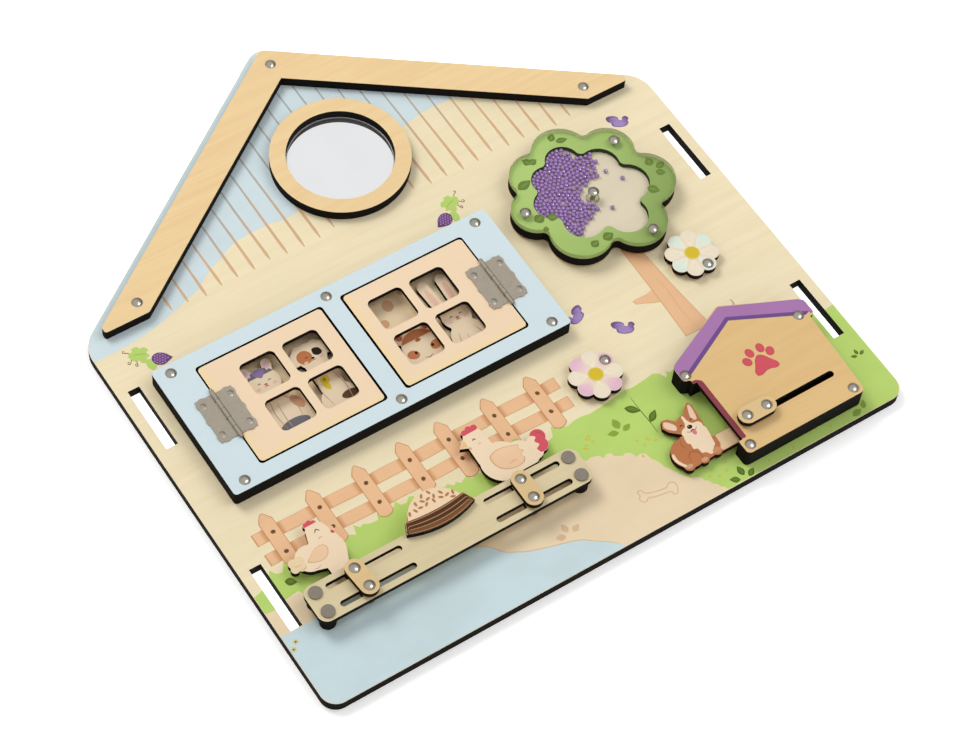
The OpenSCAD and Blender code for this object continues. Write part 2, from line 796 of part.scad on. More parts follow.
module tree_back() {
    color(birch) at_tree() plate(turn_z) difference() {
        crown(false);
        circle(shank_r + run_fit);
        crown_holes(shank_r + snug);
    }
}

module tree_ring() {
    color("#a5cd69") at_tree() plate(turn_z + ply) difference() {
        crown(false);
        crown(true);
        crown_holes(shank_r + snug);
    }
}

module tree_cover() {
    color("#dfeee6", 0.35) at_tree() plate(turn_z + 2 * ply, cover_t) difference() {
        crown(false);
        circle(shank_r + run_fit);
        crown_holes(shank_r + snug);
    }
}

module tree_rivets() {
    color(steel) at_tree() for (b = tree_rivets_at) translate(bearing(b[0], b[1])) translate([0, 0, tree_top])
        rivet(tree_top - turn_z);
}

module tree_hub() {
    color("#e9edf0") at_tree() translate([0, 0, turn_z + ply]) difference() {
        cylinder(r = hub_r, h = ply);
        translate([0, 0, -1]) cylinder(r = shank_r + run_fit, h = ply + 2);
    }
}

// One layer of beads in rows, lying against the crown's upper left, with a few strays
module tree_beads() {
    step = bead_d + 0.06;
    rise = step * sin(60);
    inside = function(p) max([for (b = lobes) b[5] - norm(p - bearing(b[3], b[4]))]);
    held = function(p) max(inside(p), 22.5 - norm(p)) > bead_d / 2 + 0.15;
    piled = function(p) -0.8 * p[0] + 0.6 * p[1] > 2.5 * sin(14 * (0.6 * p[0] + 0.8 * p[1])) - 2.5
        && p[1] > -18 && norm(p) > hub_r + bead_d / 2 + 0.1;
    strays = [[12.5, 9.3], [20.2, 0], [2.5, -13.6]];
    color("#9670be") at_tree() translate([0, 0, turn_z + ply + bead_d / 2]) {
        for (j = [-16:16], i = [-16:16])
            let (p = [(i + (j % 2) / 2) * step, j * rise])
                if (held(p) && piled(p)) translate(p) sphere(bead_d / 2);
        for (p = strays) translate(p) sphere(bead_d / 2);
    }
}

module tree_pivot() {
    color(steel) at_tree() translate([0, 0, tree_top + turn_gap]) rivet(tree_top + turn_gap - ply);
}

module tree_washer() {
    color("#e8e4dc") at_tree() translate([0, 0, face]) washer(washer_t, 9);
}

// Petals round a middle, with a hole for the rivet
module flower(pos, pin, turn) {
    r = flower_r * 0.32;
    color("#f7eede") house() plate(turn_z) difference() {
        translate(pos) {
            for (i = [0:petals - 1]) rotate(turn + i * 360 / petals) translate([flower_r - r, 0]) circle(r);
            circle(flower_r - r);
        }
        translate(pin) circle(shank_r + run_fit);
    }
}

module daisy() { flower(daisy_pos, daisy_pin, daisy_turn); }
module blossom() { flower(blossom_pos, blossom_pin, blossom_turn); }

module flower_rivets() {
    color(steel) house() board_rivets([daisy_pin, blossom_pin], turn_z + ply + turn_gap);
}

module flower_washers() {
    color("#e8e4dc") house() for (p = [daisy_pin, blossom_pin])
        translate([p[0], p[1], face]) washer(washer_t);
}

back_panel();
front_panel();
roof_trim_lower();
roof_trim_upper();
roof_rivets();
mirror_ring_lower();
mirror_ring_upper();
mirror_disc();
window_frame_lower();
window_frame_middle();
window_frame_top();
window_frame_rivets();
left_room_animals();
right_room_animals();
left_hinge_frame_leaf();
right_hinge_frame_leaf();
hinge_pins();
frame_hinge_nails();
left_door();
left_hinge_door_leaf();
left_door_nails();
right_door();
right_hinge_door_leaf();
right_door_nails();
rail_plate();
rail_posts();
rail_pins();
trough();
left_hen();
left_hen_handle();
left_hen_rivets();
left_hen_washers();
right_hen();
right_hen_handle();
right_hen_rivets();
right_hen_washers();
kennel_spacer_lower();
kennel_spacer_middle();
kennel_spacer_upper();
kennel_front();
kennel_rivets();
dog();
dog_handle();
dog_rivets();
dog_washers();
tree_back();
tree_ring();
tree_cover();
tree_rivets();
tree_hub();
tree_beads();
tree_pivot();
tree_washer();
daisy();
blossom();
flower_rivets();
flower_washers();
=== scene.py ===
import math

import bpy
import numpy as np
from bpy.props import FloatProperty, FloatVectorProperty, PointerProperty
from mathutils import Matrix, Vector


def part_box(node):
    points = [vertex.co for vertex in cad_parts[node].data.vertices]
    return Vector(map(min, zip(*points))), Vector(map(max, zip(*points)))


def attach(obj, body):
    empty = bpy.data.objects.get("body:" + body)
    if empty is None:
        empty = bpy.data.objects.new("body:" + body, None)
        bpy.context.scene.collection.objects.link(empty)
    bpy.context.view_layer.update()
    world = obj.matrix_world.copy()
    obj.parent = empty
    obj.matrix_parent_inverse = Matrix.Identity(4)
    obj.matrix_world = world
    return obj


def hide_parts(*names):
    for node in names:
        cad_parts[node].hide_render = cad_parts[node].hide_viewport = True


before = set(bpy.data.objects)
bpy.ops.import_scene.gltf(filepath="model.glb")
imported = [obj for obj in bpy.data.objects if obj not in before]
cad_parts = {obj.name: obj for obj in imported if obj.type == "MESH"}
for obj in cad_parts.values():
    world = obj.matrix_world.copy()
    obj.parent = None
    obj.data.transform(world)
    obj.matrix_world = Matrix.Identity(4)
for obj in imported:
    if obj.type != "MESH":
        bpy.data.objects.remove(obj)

bl_info = {
    "name": "Wooden Busy Board",
    "version": (1, 0, 0),
    "blender": (4, 5, 0),
    "location": "View3D > Sidebar > Busy Board",
    "description": "Printed pictures, burnt-edged plywood, steel and a studio for a busy board",
    "category": "Object",
}

MM = 0.001


# --- Sizes, colours and places ---

def linear(r, g, b):
    """Linear colour of three 8-bit display values."""
    def one(v):
        v /= 255
        return v / 12.92 if v <= 0.04045 else ((v + 0.055) / 1.055) ** 2.4
    return one(r), one(g), one(b)


def length(name, text, mm, low=0.0):
    """Size that a user may change, given in millimetres."""
    return FloatProperty(name=name, description=text, default=mm * MM, min=low * MM, unit="LENGTH",
                         precision=5)


def colour(name, text, *rgb):
    """Colour that a user may change, given in display values."""
    return FloatVectorProperty(name=name, description=text, subtype="COLOR", size=3, min=0, max=1,
                               default=linear(*rgb))


class BusyBoardSizes(bpy.types.PropertyGroup):
    """Sizes of the printed pictures."""
    ink_step: length("Ink step", "Height of one printed layer over the one below", 0.03, 0.005)
    ink_root: length("Ink root", "Depth of a print under its surface", 0.03, 0.005)
    siding_pitch: length("Siding pitch", "Spacing of the lines that stand for boards", 9.71, 2)
    siding_width: length("Siding width", "Width of such a line at its thickest", 1.4, 0.1)
    siding_foot: length("Siding foot", "Height at which the lines end", 231.5, 10)
    picket_width: length("Picket width", "Width of a printed picket", 7.9, 2)
    picket_top: length("Picket top", "Height of a picket's tip", 106.8, 20)
    border: length("Door border", "Width of the tinted border of a door", 3.2, 0.2)
    petal_gap: length("Petal gap", "Width of the line between two petals", 0.35, 0.05)
    purlin: length("Kennel roof", "Height of the purple band under the kennel's ridge", 7.8, 1)
    purlin_shade: length("Kennel roof shade", "Height of the darker band below it", 2.2, 0.2)
    seed_pitch: length("Seed pitch", "Spacing of the seeds printed on the heap", 3.6, 1)


class BusyBoardInks(bpy.types.PropertyGroup):
    """Colours of wood, paint, print and metal."""
    birch: colour("Birch", "Bare printed face", 245, 231, 194)
    plain: colour("Plain birch", "Rail, handles and strap", 224, 208, 168)
    golden: colour("Golden birch", "Roof trim and mirror ring", 241, 212, 161)
    honey: colour("Honey wood", "Kennel front", 229, 194, 136)
    burnt: colour("Burnt edge", "Laser-cut sides", 9, 5, 3)
    sky: colour("Sky", "Sky and window frame", 212, 228, 233)
    pond: colour("Pond", "Pond", 206, 226, 231)
    ground: colour("Ground", "Sandy ground", 240, 219, 184)
    grass: colour("Grass", "Grass", 190, 219, 116)
    leaf: colour("Leaf", "Dark leaves", 88, 114, 34)
    sprig: colour("Sprig", "Mid-green leaves", 140, 169, 68)
    foliage: colour("Foliage", "Ring round the tree's window", 168, 195, 114)
    peach: colour("Peach", "Fence, trunk and branch", 241, 194, 150)
    bark: colour("Bark", "Shade of fence and trunk", 205, 143, 95)
    nail: colour("Nail", "Printed nails", 112, 78, 48)
    purple: colour("Purple", "Kennel roof", 171, 122, 176)
    plum: colour("Plum", "Shade of the kennel roof, and berries", 112, 78, 142)
    wing: colour("Wing", "Butterflies", 158, 124, 190)
    maroon: colour("Maroon", "Kennel's door post", 142, 66, 76)
    red: colour("Red", "Paw, combs and tail", 214, 86, 100)
    cream: colour("Cream", "Hens", 243, 220, 188)
    petal: colour("Petal", "Pale petals", 245, 233, 210)
    tan: colour("Tan", "Outlines on cream", 214, 170, 128)
    ginger: colour("Ginger", "Dog's coat", 192, 121, 77)
    pink: colour("Pink", "Blossom petals", 238, 193, 214)
    mint: colour("Mint", "Daisy petals", 229, 242, 228)
    yolk: colour("Yolk", "Flower middles", 218, 190, 50)
    ink: colour("Dark ink", "Eyes, nose and spots", 38, 26, 22)
    grey: colour("Grey", "Grey patches", 112, 110, 116)
    door: colour("Door", "Doors", 243, 217, 184)
    bead: colour("Bead", "Beads in the tree", 172, 126, 202)
    steel: colour("Steel", "Rivets", 166, 160, 149)
    leaf_steel: colour("Hinge steel", "Hinge leaves", 172, 162, 147)
    floor: colour("Floor", "Studio floor", 252, 252, 252)


# Millimetres on the board, in the house's own axes: X from the middle, Y from the bottom edge
WALL_TOP = 234.5                # where a wall meets the roof
ROOF_SLOPE = 120.4 / 170        # the roof's rise over its run
CORNER_RADII = (8.5, 8.5, 18, 10, 18)
PRINT_SHARE = 0.9985            # size of the printed area over the board's
# Left, right, bottom and top of each strap slot
STRAP_SLOTS = [(x, x + 6.5, y, y + 38.5) for x in (-164.25, 157.75) for y in (44.65, 161.75)]
ROOM_SIDE = 41.85               # middle of a room from the middle of the window frame
ROOM_DROP = 28.65               # floor of the rooms below the middle of the window frame

# Lobes of the tree and of its window about the pivot: bearing in degrees, distance and radius
TREE_LOBES = ((91, 29.6, 15.8), (41, 28.6, 14.5), (-12.4, 29.3, 16), (-68.2, 27.2, 16),
              (-138.5, 24.6, 17), (169.3, 31.9, 13.4), (129.4, 31, 14.3))
WINDOW_LOBES = ((93, 26.2, 9.5), (46, 19.7, 11), (-6.4, 20.7, 11.5), (-67, 20.9, 11.3),
                (-140, 16.8, 11.2), (164, 22.8, 9.3), (127, 24.7, 9))
LOBE_NOTCH = 3.2                # radius between two lobes


# --- Outlines, all in millimetres in the plane of the board ---

def cross(a, b):
    """How far b lies to the left of a: Z of the product of two plane vectors, or of many."""
    return a[..., 0] * b[..., 1] - a[..., 1] * b[..., 0]


def bearing(turn):
    """Cosine and sine of some degrees."""
    return np.array([math.cos(math.radians(turn)), math.sin(math.radians(turn))])


def moved(outline, x, y, turn=0.0):
    """Outline turned by some degrees, then shifted."""
    p = np.asarray(outline, float)
    c, s = bearing(turn)
    return np.column_stack([x + c * p[:, 0] - s * p[:, 1], y + s * p[:, 0] + c * p[:, 1]])


def shrink(outline, share):
    """Outline moved towards the middle of its points by a share."""
    p = np.asarray(outline, float)
    return p.mean(0) + (p - p.mean(0)) * share


def flow(points, n=8, closed=True):
    """Curve through control points: on each span, the cubic whose ends pass through the two
    points with half the chord between their outer neighbours as slope."""
    p = np.asarray(points, float)
    if closed:
        a, b, c, d = np.roll(p, 1, 0), p, np.roll(p, -1, 0), np.roll(p, -2, 0)
    else:
        q = np.vstack([2 * p[0] - p[1], p, 2 * p[-1] - p[-2]])
        a, b, c, d = q[:-3], q[1:-2], q[2:-1], q[3:]
    t = np.linspace(0, 1, n, endpoint=False)[None, :, None]
    a, b, c, d = (v[:, None, :] for v in (a, b, c, d))
    bend, twist = 2 * a - 5 * b + 4 * c - d, 3 * b - a - 3 * c + d
    curve = (0.5 * (2 * b + (c - a) * t + bend * t ** 2 + twist * t ** 3)).reshape(-1, 2)
    return curve if closed else np.vstack([curve, p[-1:]])


def oval(x, y, rx, ry, turn=0.0, n=28):
    """Ellipse: centre plus the radii times cosine and sine of an angle, turned by some degrees."""
    t = np.linspace(0, 2 * np.pi, n, endpoint=False)
    return moved(np.column_stack([rx * np.cos(t), ry * np.sin(t)]), x, y, turn)


def blade(x, y, long, wide, turn, n=12):
    """Leaf: half-width is the sine of the way along it, a little fuller towards its foot."""
    t = np.linspace(0, 1, n)
    half = wide / 2 * np.sin(np.pi * t ** 0.85)
    u = np.concatenate([long * (t - 0.5), long * (t[-2:0:-1] - 0.5)])
    return moved(np.column_stack([u, np.concatenate([-half, half[-2:0:-1]])]), x, y, turn)


def stroke(points, wide, ends, n=6):
    """Line of ink: points of a curve moved to both sides by half the width, which falls to a
    share of itself at the two ends along a half sine."""
    p = flow(points, n, closed=False)
    d = np.gradient(p, axis=0)
    d /= np.linalg.norm(d, axis=1)[:, None]
    side = np.column_stack([-d[:, 1], d[:, 0]])
    half = wide / 2 * (ends + (1 - ends) * np.sin(np.pi * np.linspace(0, 1, len(p))))[:, None]
    return np.vstack([p - side * half, (p + side * half)[::-1]])


def rounded(corners, radii, n=10):
    """Polygon with arcs at its corners: each arc's centre lies on the corner's bisector, and its
    points run between the two tangent points."""
    p = np.asarray(corners, float)
    out = []
    for q, a, b, r in zip(p, np.roll(p, 1, 0), np.roll(p, -1, 0), radii):
        if r <= 0:
            out.append(q[None, :])
            continue
        u, v = (q - a) / np.linalg.norm(q - a), (b - q) / np.linalg.norm(b - q)
        nu, nv = np.array([-u[1], u[0]]), np.array([-v[1], v[0]])
        start = math.atan2(-nu[1], -nu[0])
        t = np.linspace(start, start + math.atan2(cross(u, v), u @ v), n)
        out.append(q + (nu + nv) * r / (1 + nu @ nv) + r * np.column_stack([np.cos(t), np.sin(t)]))
    return np.vstack(out)


def notch(u, reach, a, r, b, s, soft):
    """Reach of an outline on bearings u, filled between two of its circles (middles a and b, radii
    r and s) up to a circle of the soft radius that touches both from outside."""
    far = np.linalg.norm(b - a)
    way = (b - a) / far
    x = ((r + soft) ** 2 - (s + soft) ** 2 + far ** 2) / (2 * far)
    out = np.array([-way[1], way[0]]) * (1 if cross(a, b) < 0 else -1)
    mid = a + way * x + out * math.sqrt((r + soft) ** 2 - x ** 2)
    on_a, on_b = a + (mid - a) * r / (r + soft), b + (mid - b) * s / (s + soft)
    within = np.sign(cross(on_a, on_b))
    between = (cross(on_a, u) * within >= 0) & (cross(u, on_b) * within >= 0) & (u @ mid > 0)
    deep = soft ** 2 - (mid @ mid - (u @ mid) ** 2)
    near_side = u @ mid - np.sqrt(np.maximum(deep, 0))
    return np.where(between & (deep > 0), np.maximum(reach, near_side), reach)


def star(centre, circles, start=0.0, end=360.0, n=96, inset=0.15, soft=0.0):
    """Outline of joined circles seen from a point: on each bearing, the farthest way out of any
    circle, less a small inset. Soft is the radius of the notches between neighbours."""
    t = np.radians(np.linspace(start, end, n, endpoint=abs(end - start) < 360))
    u = np.column_stack([np.cos(t), np.sin(t)])
    centre, c = np.asarray(centre, float), np.asarray(circles, float)
    d, r = c[:, :2] - centre, c[:, 2]
    along = u @ d.T
    gap = r ** 2 - ((d ** 2).sum(1) - along ** 2)
    reach = np.where(gap > 0, along + np.sqrt(np.maximum(gap, 0)), 0).max(1)
    if soft:
        for k in range(len(d)):
            reach = notch(u, reach, d[k - 1], r[k - 1], d[k], r[k], soft)
    return centre + u * np.maximum(reach - inset, 0.05)[:, None]


def lobed(lobes, inset):
    """Outline of lobes about the pivot, with soft notches: each lobe's centre is its distance
    times cosine and sine of its bearing."""
    turn, far, r = np.array(lobes, float).T
    circles = np.column_stack([far * np.cos(np.radians(turn)), far * np.sin(np.radians(turn)), r])
    return star((0, 0), circles, n=300, inset=inset, soft=LOBE_NOTCH)


def darker(rgb, by):
    """Colour times a share."""
    return tuple(v * by for v in rgb)


def blend(a, b, share):
    """Colour between two, or one for each share."""
    a, b, share = (np.asarray(v, float) for v in (a, b, share))
    return a + (b - a) * share[..., None]


class Drawing:
    """Prints of one surface: thin closed plates rooted in it, with their colour on the points."""
    stagger = 9                 # prints in a row whose tops differ

    def __init__(self, origin, sizes):
        self.origin = np.array(origin, float)
        self.step, self.root = sizes.ink_step, sizes.ink_root
        self.points, self.inks, self.faces, self.count, self.turn = [], [], [], 0, 0

    def add(self, xy, level, ink, faces):
        """Bottom points, then the same points at the top of their layer. Prints of one layer that
        follow each other differ by a tenth of a layer, so none shares its surface with the next."""
        n = len(xy)
        self.turn = (self.turn + 1) % self.stagger
        low = np.column_stack([xy * MM, np.full(n, -self.root)])
        high = np.column_stack([xy * MM, np.full(n, self.step * (level + 1 + self.turn / 10))])
        self.points.append(np.vstack([low, high]) + self.origin)
        tone = np.broadcast_to(np.asarray(ink, float), (n, 3))
        self.inks.append(np.vstack([tone, tone]))
        self.faces.extend((np.asarray(f) + self.count).tolist() for f in faces)
        self.count += 2 * n

    def plate(self, outline, ink, level=0):
        """Closed plate: the outline at the bottom and the top, joined by one wall per side."""
        p = np.asarray(outline, float)
        if cross(p, np.roll(p, -1, 0)).sum() < 0:
            p = p[::-1]
        n = len(p)
        i = np.arange(n)
        j = (i + 1) % n
        self.add(p, level, ink, [i[::-1], i + n] + list(np.column_stack([i, j, j + n, i + n])))

    def framed(self, outline, rim, fill, level=0, by=0.9):
        """Shape with a thin darker rim round its colour."""
        self.plate(outline, rim, level)
        self.plate(shrink(outline, by), fill, level + 1)

    def line(self, points, wide, ends, ink, level=0):
        """Line of ink through control points."""
        self.plate(stroke(points, wide, ends), ink, level)

    def blades(self, rows, ink, level=0):
        """One leaf per row."""
        for row in rows:
            self.plate(blade(*row), ink, level)

    def hoop(self, outer, inner, ink, level=0):
        """Closed flat ring between two outlines that share their bearings."""
        n = len(outer)
        i = np.arange(n)
        j = (i + 1) % n
        top = 2 * n
        faces = [np.column_stack([i, i + n, j + n, j]), np.column_stack([i, j, j + n, i + n]) + top,
                 np.column_stack([i, j, j + top, i + top]), np.column_stack([j, i, i + top, j + top]) + n]
        self.add(np.vstack([outer, inner]), level, ink, np.vstack(faces))

    def band(self, x, low, high, ink, level=0):
        """Closed strip between two heights over the same x: one grid of two rows for the bottom
        and one for the top, and walls all round."""
        x = np.asarray(x, float)
        m = len(x)
        low, high = np.broadcast_to(low, m), np.broadcast_to(high, m)
        xy = np.vstack([np.column_stack([x, low]), np.column_stack([x, np.maximum(high, low + 0.02)])])
        k = np.arange(m - 1)
        top = 2 * m
        tone = np.asarray(ink, float)
        if tone.ndim == 2:
            tone = np.vstack([tone, tone])
        faces = [np.column_stack([k, k + m, k + m + 1, k + 1]),
                 np.column_stack([k, k + 1, k + m + 1, k + m]) + top,
                 np.column_stack([k, k + 1, k + 1 + top, k + top]),
                 np.column_stack([k + m + 1, k + m, k + m + top, k + m + 1 + top]),
                 [(m, 0, top, m + top), (m - 1, 2 * m - 1, 2 * m - 1 + top, m - 1 + top)]]
        self.add(xy, level, tone, np.vstack(faces))

    def area(self, low, high, ink, level=0, gaps=(), step=1.0):
        """Band between two chains of points, cut into parts left, right, below and above each gap
        (left, right, bottom, top)."""
        low, high = np.asarray(low, float), np.asarray(high, float)
        x0, x1 = max(low[0, 0], high[0, 0]), min(low[-1, 0], high[-1, 0])
        knots = np.concatenate([low[:, 0], high[:, 0], np.arange(x0, x1, step)])
        cuts = sorted({x0, x1} | {v for g in gaps for v in g[:2] if x0 < v < x1})
        for a, b in zip(cuts[:-1], cuts[1:]):
            x = np.unique(np.round(np.concatenate([[a, b], knots[(knots > a) & (knots < b)]]), 4))
            lo, hi = np.interp(x, *low.T), np.interp(x, *high.T)
            inside = sorted(g[2:] for g in gaps if g[0] <= (a + b) / 2 <= g[1])
            floors = [-np.inf] + [g[1] for g in inside]
            roofs = [g[0] for g in inside] + [np.inf]
            for floor, roof in zip(floors, roofs):
                l, h = np.clip(lo, floor, roof), np.clip(hi, floor, roof)
                if (h - l).max() > 0.1:
                    self.band(x, l, h, ink, level)

    def object(self, name, body, slot):
        """One mesh of everything drawn, riding on a body."""
        mesh = bpy.data.meshes.new(name)
        mesh.from_pydata(np.vstack(self.points).tolist(), [], self.faces)
        mesh.update()
        ink = mesh.attributes.new("ink", "FLOAT_COLOR", "POINT")
        rgba = np.ones((self.count, 4), np.float32)
        rgba[:, :3] = np.vstack(self.inks)
        ink.data.foreach_set("color", rgba.ravel())
        show(name, mesh, bpy.data.materials.get(PRINTED_INK) or printed_ink(), body)


def show(name, mesh, material, body):
    """Object of one mesh in one material, riding on a body."""
    mesh.materials.append(material)
    obj = bpy.data.objects.new(name, mesh)
    bpy.context.scene.collection.objects.link(obj)
    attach(obj, body)
    return obj


# --- Materials ---

PRINTED_INK = "Printed ink"
PLY = 1.0 * MM                  # thickness of one ply
SOOT_ROUGH = 0.85               # roughness of a burnt side
MATT = 0.12                     # specular level of wood and paint
BEAD_FINISH = (0.28, 0.72, 0.3) # roughness, depth of the clouding and coat of a bead


class Nodes:
    """Adds nodes to one node tree."""

    def __init__(self, tree):
        self.tree = tree

    def plug(self, socket, value):
        """Links a socket to its source, or sets its constant."""
        if isinstance(value, bpy.types.NodeSocket):
            self.tree.links.new(value, socket)
        elif hasattr(socket.default_value, "__len__"):
            socket.default_value = (tuple(value) + (1,))[:len(socket.default_value)]
        else:
            socket.default_value = value

    def node(self, kind, inputs=None, **settings):
        """New node with its settings, then its inputs. Gives its outputs."""
        node = self.tree.nodes.new("ShaderNode" + kind)
        for key, value in settings.items():
            setattr(node, key, value)
        for key, value in (inputs or {}).items():
            self.plug(node.inputs[key], value)
        return node.outputs

    def span(self, value, a, b, c=0.0, d=1.0, smooth=True):
        """Value mapped from one range to another, held at its ends."""
        return self.node("MapRange", {"Value": value, "From Min": a, "From Max": b, "To Min": c, "To Max": d},
                         interpolation_type="SMOOTHSTEP" if smooth else "LINEAR")["Result"]

    def math(self, kind, *values):
        """Result of a Math node on values or sockets."""
        return self.node("Math", dict(enumerate(values)), operation=kind)[0]


class Shader(Nodes):
    """Nodes of one new material round its Principled shader."""

    def __init__(self, name):
        self.material = bpy.data.materials.new(name)
        self.material.use_nodes = True
        super().__init__(self.material.node_tree)
        self.tree.nodes.clear()
        self.bsdf = self.tree.nodes.new("ShaderNodeBsdfPrincipled")
        self.node("OutputMaterial", {"Surface": self.bsdf.outputs[0]})
        self.coord = self.node("TexCoord")

    def noise(self, stretch, turn=0.0, detail=3.0, rough=0.55, warp=0.0):
        """Noise over the object's own coordinates in millimetres, turned and stretched."""
        place = self.node("Mapping", {"Vector": self.coord["Object"], "Rotation": (0, 0, math.radians(-turn)),
                                      "Scale": [s / MM for s in stretch]})
        return self.node("TexNoise", {"Vector": place[0], "Scale": 1, "Detail": detail, "Roughness": rough,
                                      "Distortion": warp})["Fac"]

    def mix(self, share, a, b, kind="MIX"):
        """Colour between two, by a share."""
        return self.node("Mix", {"Factor": share, "A": a, "B": b}, data_type="RGBA",
                         blend_type=kind)["Result"]

    def axis(self, name, k):
        """One axis of the object's own coordinates or normal."""
        return self.node("SeparateXYZ", {0: self.coord[name]})[k]

    def facing_up(self):
        """1 on faces that look along the object's Z, 0 on its cut sides."""
        return self.span(self.math("ABSOLUTE", self.axis("Normal", 2)), 0.55, 0.8)

    def bump(self, height, strength, deep):
        """Relief of the whole surface, its depth in millimetres."""
        relief = self.node("Bump", {"Strength": strength, "Distance": deep * MM, "Height": height})
        self.plug(self.bsdf.inputs["Normal"], relief[0])

    def put(self, **values):
        """Fills the shader's own sockets, and gives the material."""
        for key, value in values.items():
            self.plug(self.bsdf.inputs[key.replace("_", " ")], value)
        return self.material

    def put_sheet(self, top, side, rough):
        """Fills them for a sheet with one colour on its faces and another on its burnt sides."""
        up = self.facing_up()
        return self.put(Base_Color=self.mix(up, side, top), Specular_IOR_Level=MATT,
                        Roughness=self.span(up, 0, 1, SOOT_ROUGH, rough, False))


def wood(name, face, burnt, turn=0.0, strength=0.5, streak=None, rough=0.6, fine=1.0):
    """Veneer with grain along one bearing, over sides burnt by the laser with the plies showing."""
    s = Shader(name)
    bands = s.noise((0.012 * fine, 0.22 * fine, 0.2), turn, 4, 0.6, 0.6)
    fibres = s.noise((0.06 * fine, 2.4 * fine, 1.0), turn, 3, 0.6)
    clouds = s.noise((0.012, 0.018, 0.02), turn, 2)
    streak = darker(face, 0.86) if streak is None else streak
    top = s.mix(s.span(bands, 0.35, 0.72, 0, strength), face, streak)
    top = s.mix(s.span(fibres, 0.45, 0.8, 0, 0.35 * strength), top, darker(face, 0.8))
    top = s.mix(s.span(clouds, 0.3, 0.7, 0, 0.5), top, darker(face, 0.92))
    plies = s.math("SINE", s.math("MULTIPLY", s.axis("Object", 2), 2 * math.pi / PLY))
    soot = s.noise((0.5, 0.5, 0.25))
    side = s.mix(s.span(plies, -0.2, 0.9, 0, 0.5), burnt, darker(burnt, 1.8))
    side = s.mix(s.span(soot, 0.5, 0.75, 0, 0.6), side, darker(burnt, 0.5))
    s.bump(fibres, 0.12, 0.04)
    return s.put_sheet(top, side, rough)


def painted(name, paint, burnt, wash, border=None):
    """Print or paint over veneer: the grain shows faintly, the sides stay burnt."""
    s = Shader(name)
    fibres = s.noise((0.05, 1.6, 1.0), 4, 3, 0.6)
    clouds = s.noise((0.03, 0.04, 0.05))
    top = s.mix(s.span(clouds, 0.3, 0.72, 0, wash), paint, darker(paint, 0.84))
    top = s.mix(s.span(fibres, 0.45, 0.85, 0, 0.16), top, darker(paint, 0.82))
    if border:
        top = border(s, top)
    soot = s.noise((0.5, 0.5, 0.25))
    side = s.mix(s.span(soot, 0.45, 0.8, 0, 0.7), burnt, darker(burnt, 1.9))
    s.bump(fibres, 0.08, 0.03)
    return s.put_sheet(top, side, 0.5)


def printed_ink():
    """Ink read from the points, over grain and with the soft mottling of a print on wood."""
    s = Shader(PRINTED_INK)
    ink = s.node("Attribute", attribute_name="ink")["Color"]
    fibres = s.noise((0.05, 1.8, 1.0), 4, 3, 0.6)
    clouds = s.noise((0.035, 0.05, 0.05))
    shade = s.mix(1.0, ink, (0.83, 0.80, 0.76), "MULTIPLY")
    tone = s.mix(s.span(clouds, 0.32, 0.75, 0, 0.32), ink, shade)
    tone = s.mix(s.span(fibres, 0.45, 0.85, 0, 0.22), tone, shade)
    s.bump(fibres, 0.08, 0.03)
    return s.put(Base_Color=tone, Roughness=s.span(clouds, 0, 1, 0.48, 0.62, False), Specular_IOR_Level=0.15)


def metal(name, rgb, rough, brush, turn=0.0, metallic=1.0):
    """Worn metal: brushed streaks move the roughness and the tone."""
    s = Shader(name)
    lines = s.noise(brush, turn, 4, 0.65)
    stains = s.noise((0.35, 0.35, 0.35))
    tone = s.mix(s.span(lines, 0.35, 0.7, 0, 0.5), rgb, darker(rgb, 0.78))
    tone = s.mix(s.span(stains, 0.4, 0.75, 0, 0.4), tone, darker(rgb, 0.82))
    s.bump(lines, 0.1, 0.02)
    return s.put(Base_Color=tone, Metallic=metallic,
                 Roughness=s.span(lines, 0.3, 0.7, rough - 0.06, rough + 0.1))


def plastic(name, rgb, rough, deep=0.85, coat=0.0, faces=1.0, sides=1.0):
    """Moulded plastic with faint clouding, and see-through where its faces or sides have an alpha
    below 1."""
    s = Shader(name)
    clouds = s.noise((0.2, 0.2, 0.2))
    tone = s.mix(s.span(clouds, 0.35, 0.7, 0, 0.6), rgb, darker(rgb, deep))
    if faces < 1:
        s.put(Alpha=s.span(s.facing_up(), 0, 1, sides, faces, False))
        s.material.surface_render_method = "BLENDED"
    return s.put(Base_Color=tone, Roughness=s.span(clouds, 0, 1, rough - 0.05, rough + 0.08, False),
                 Coat_Weight=coat)


def mirror_glass():
    """Silvered sheet with a grey cast, a trace of haze and a matt cut rim."""
    s = Shader("Mirror")
    haze = s.noise((0.03, 0.03, 0.03), 20, 4)
    tone = s.mix(s.span(haze, 0.4, 0.75, 0, 0.3), linear(232, 233, 234), linear(222, 223, 226))
    low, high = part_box("mirror_disc")
    x, y = (s.math("SUBTRACT", s.axis("Object", k), (low[k] + high[k]) / 2) for k in (0, 1))
    far = s.math("SQRT", s.math("ADD", s.math("MULTIPLY", x, x), s.math("MULTIPLY", y, y)))
    edge = (high.x - low.x) / 2
    rim = s.span(far, edge - 0.75 * MM, edge - 0.5 * MM)
    return s.put(Base_Color=s.mix(rim, tone, linear(214, 212, 208)),
                 Metallic=s.span(rim, 0, 1, 0.93, 0.2, False), Roughness=s.span(haze, 0.35, 0.8, 0.03, 0.07))


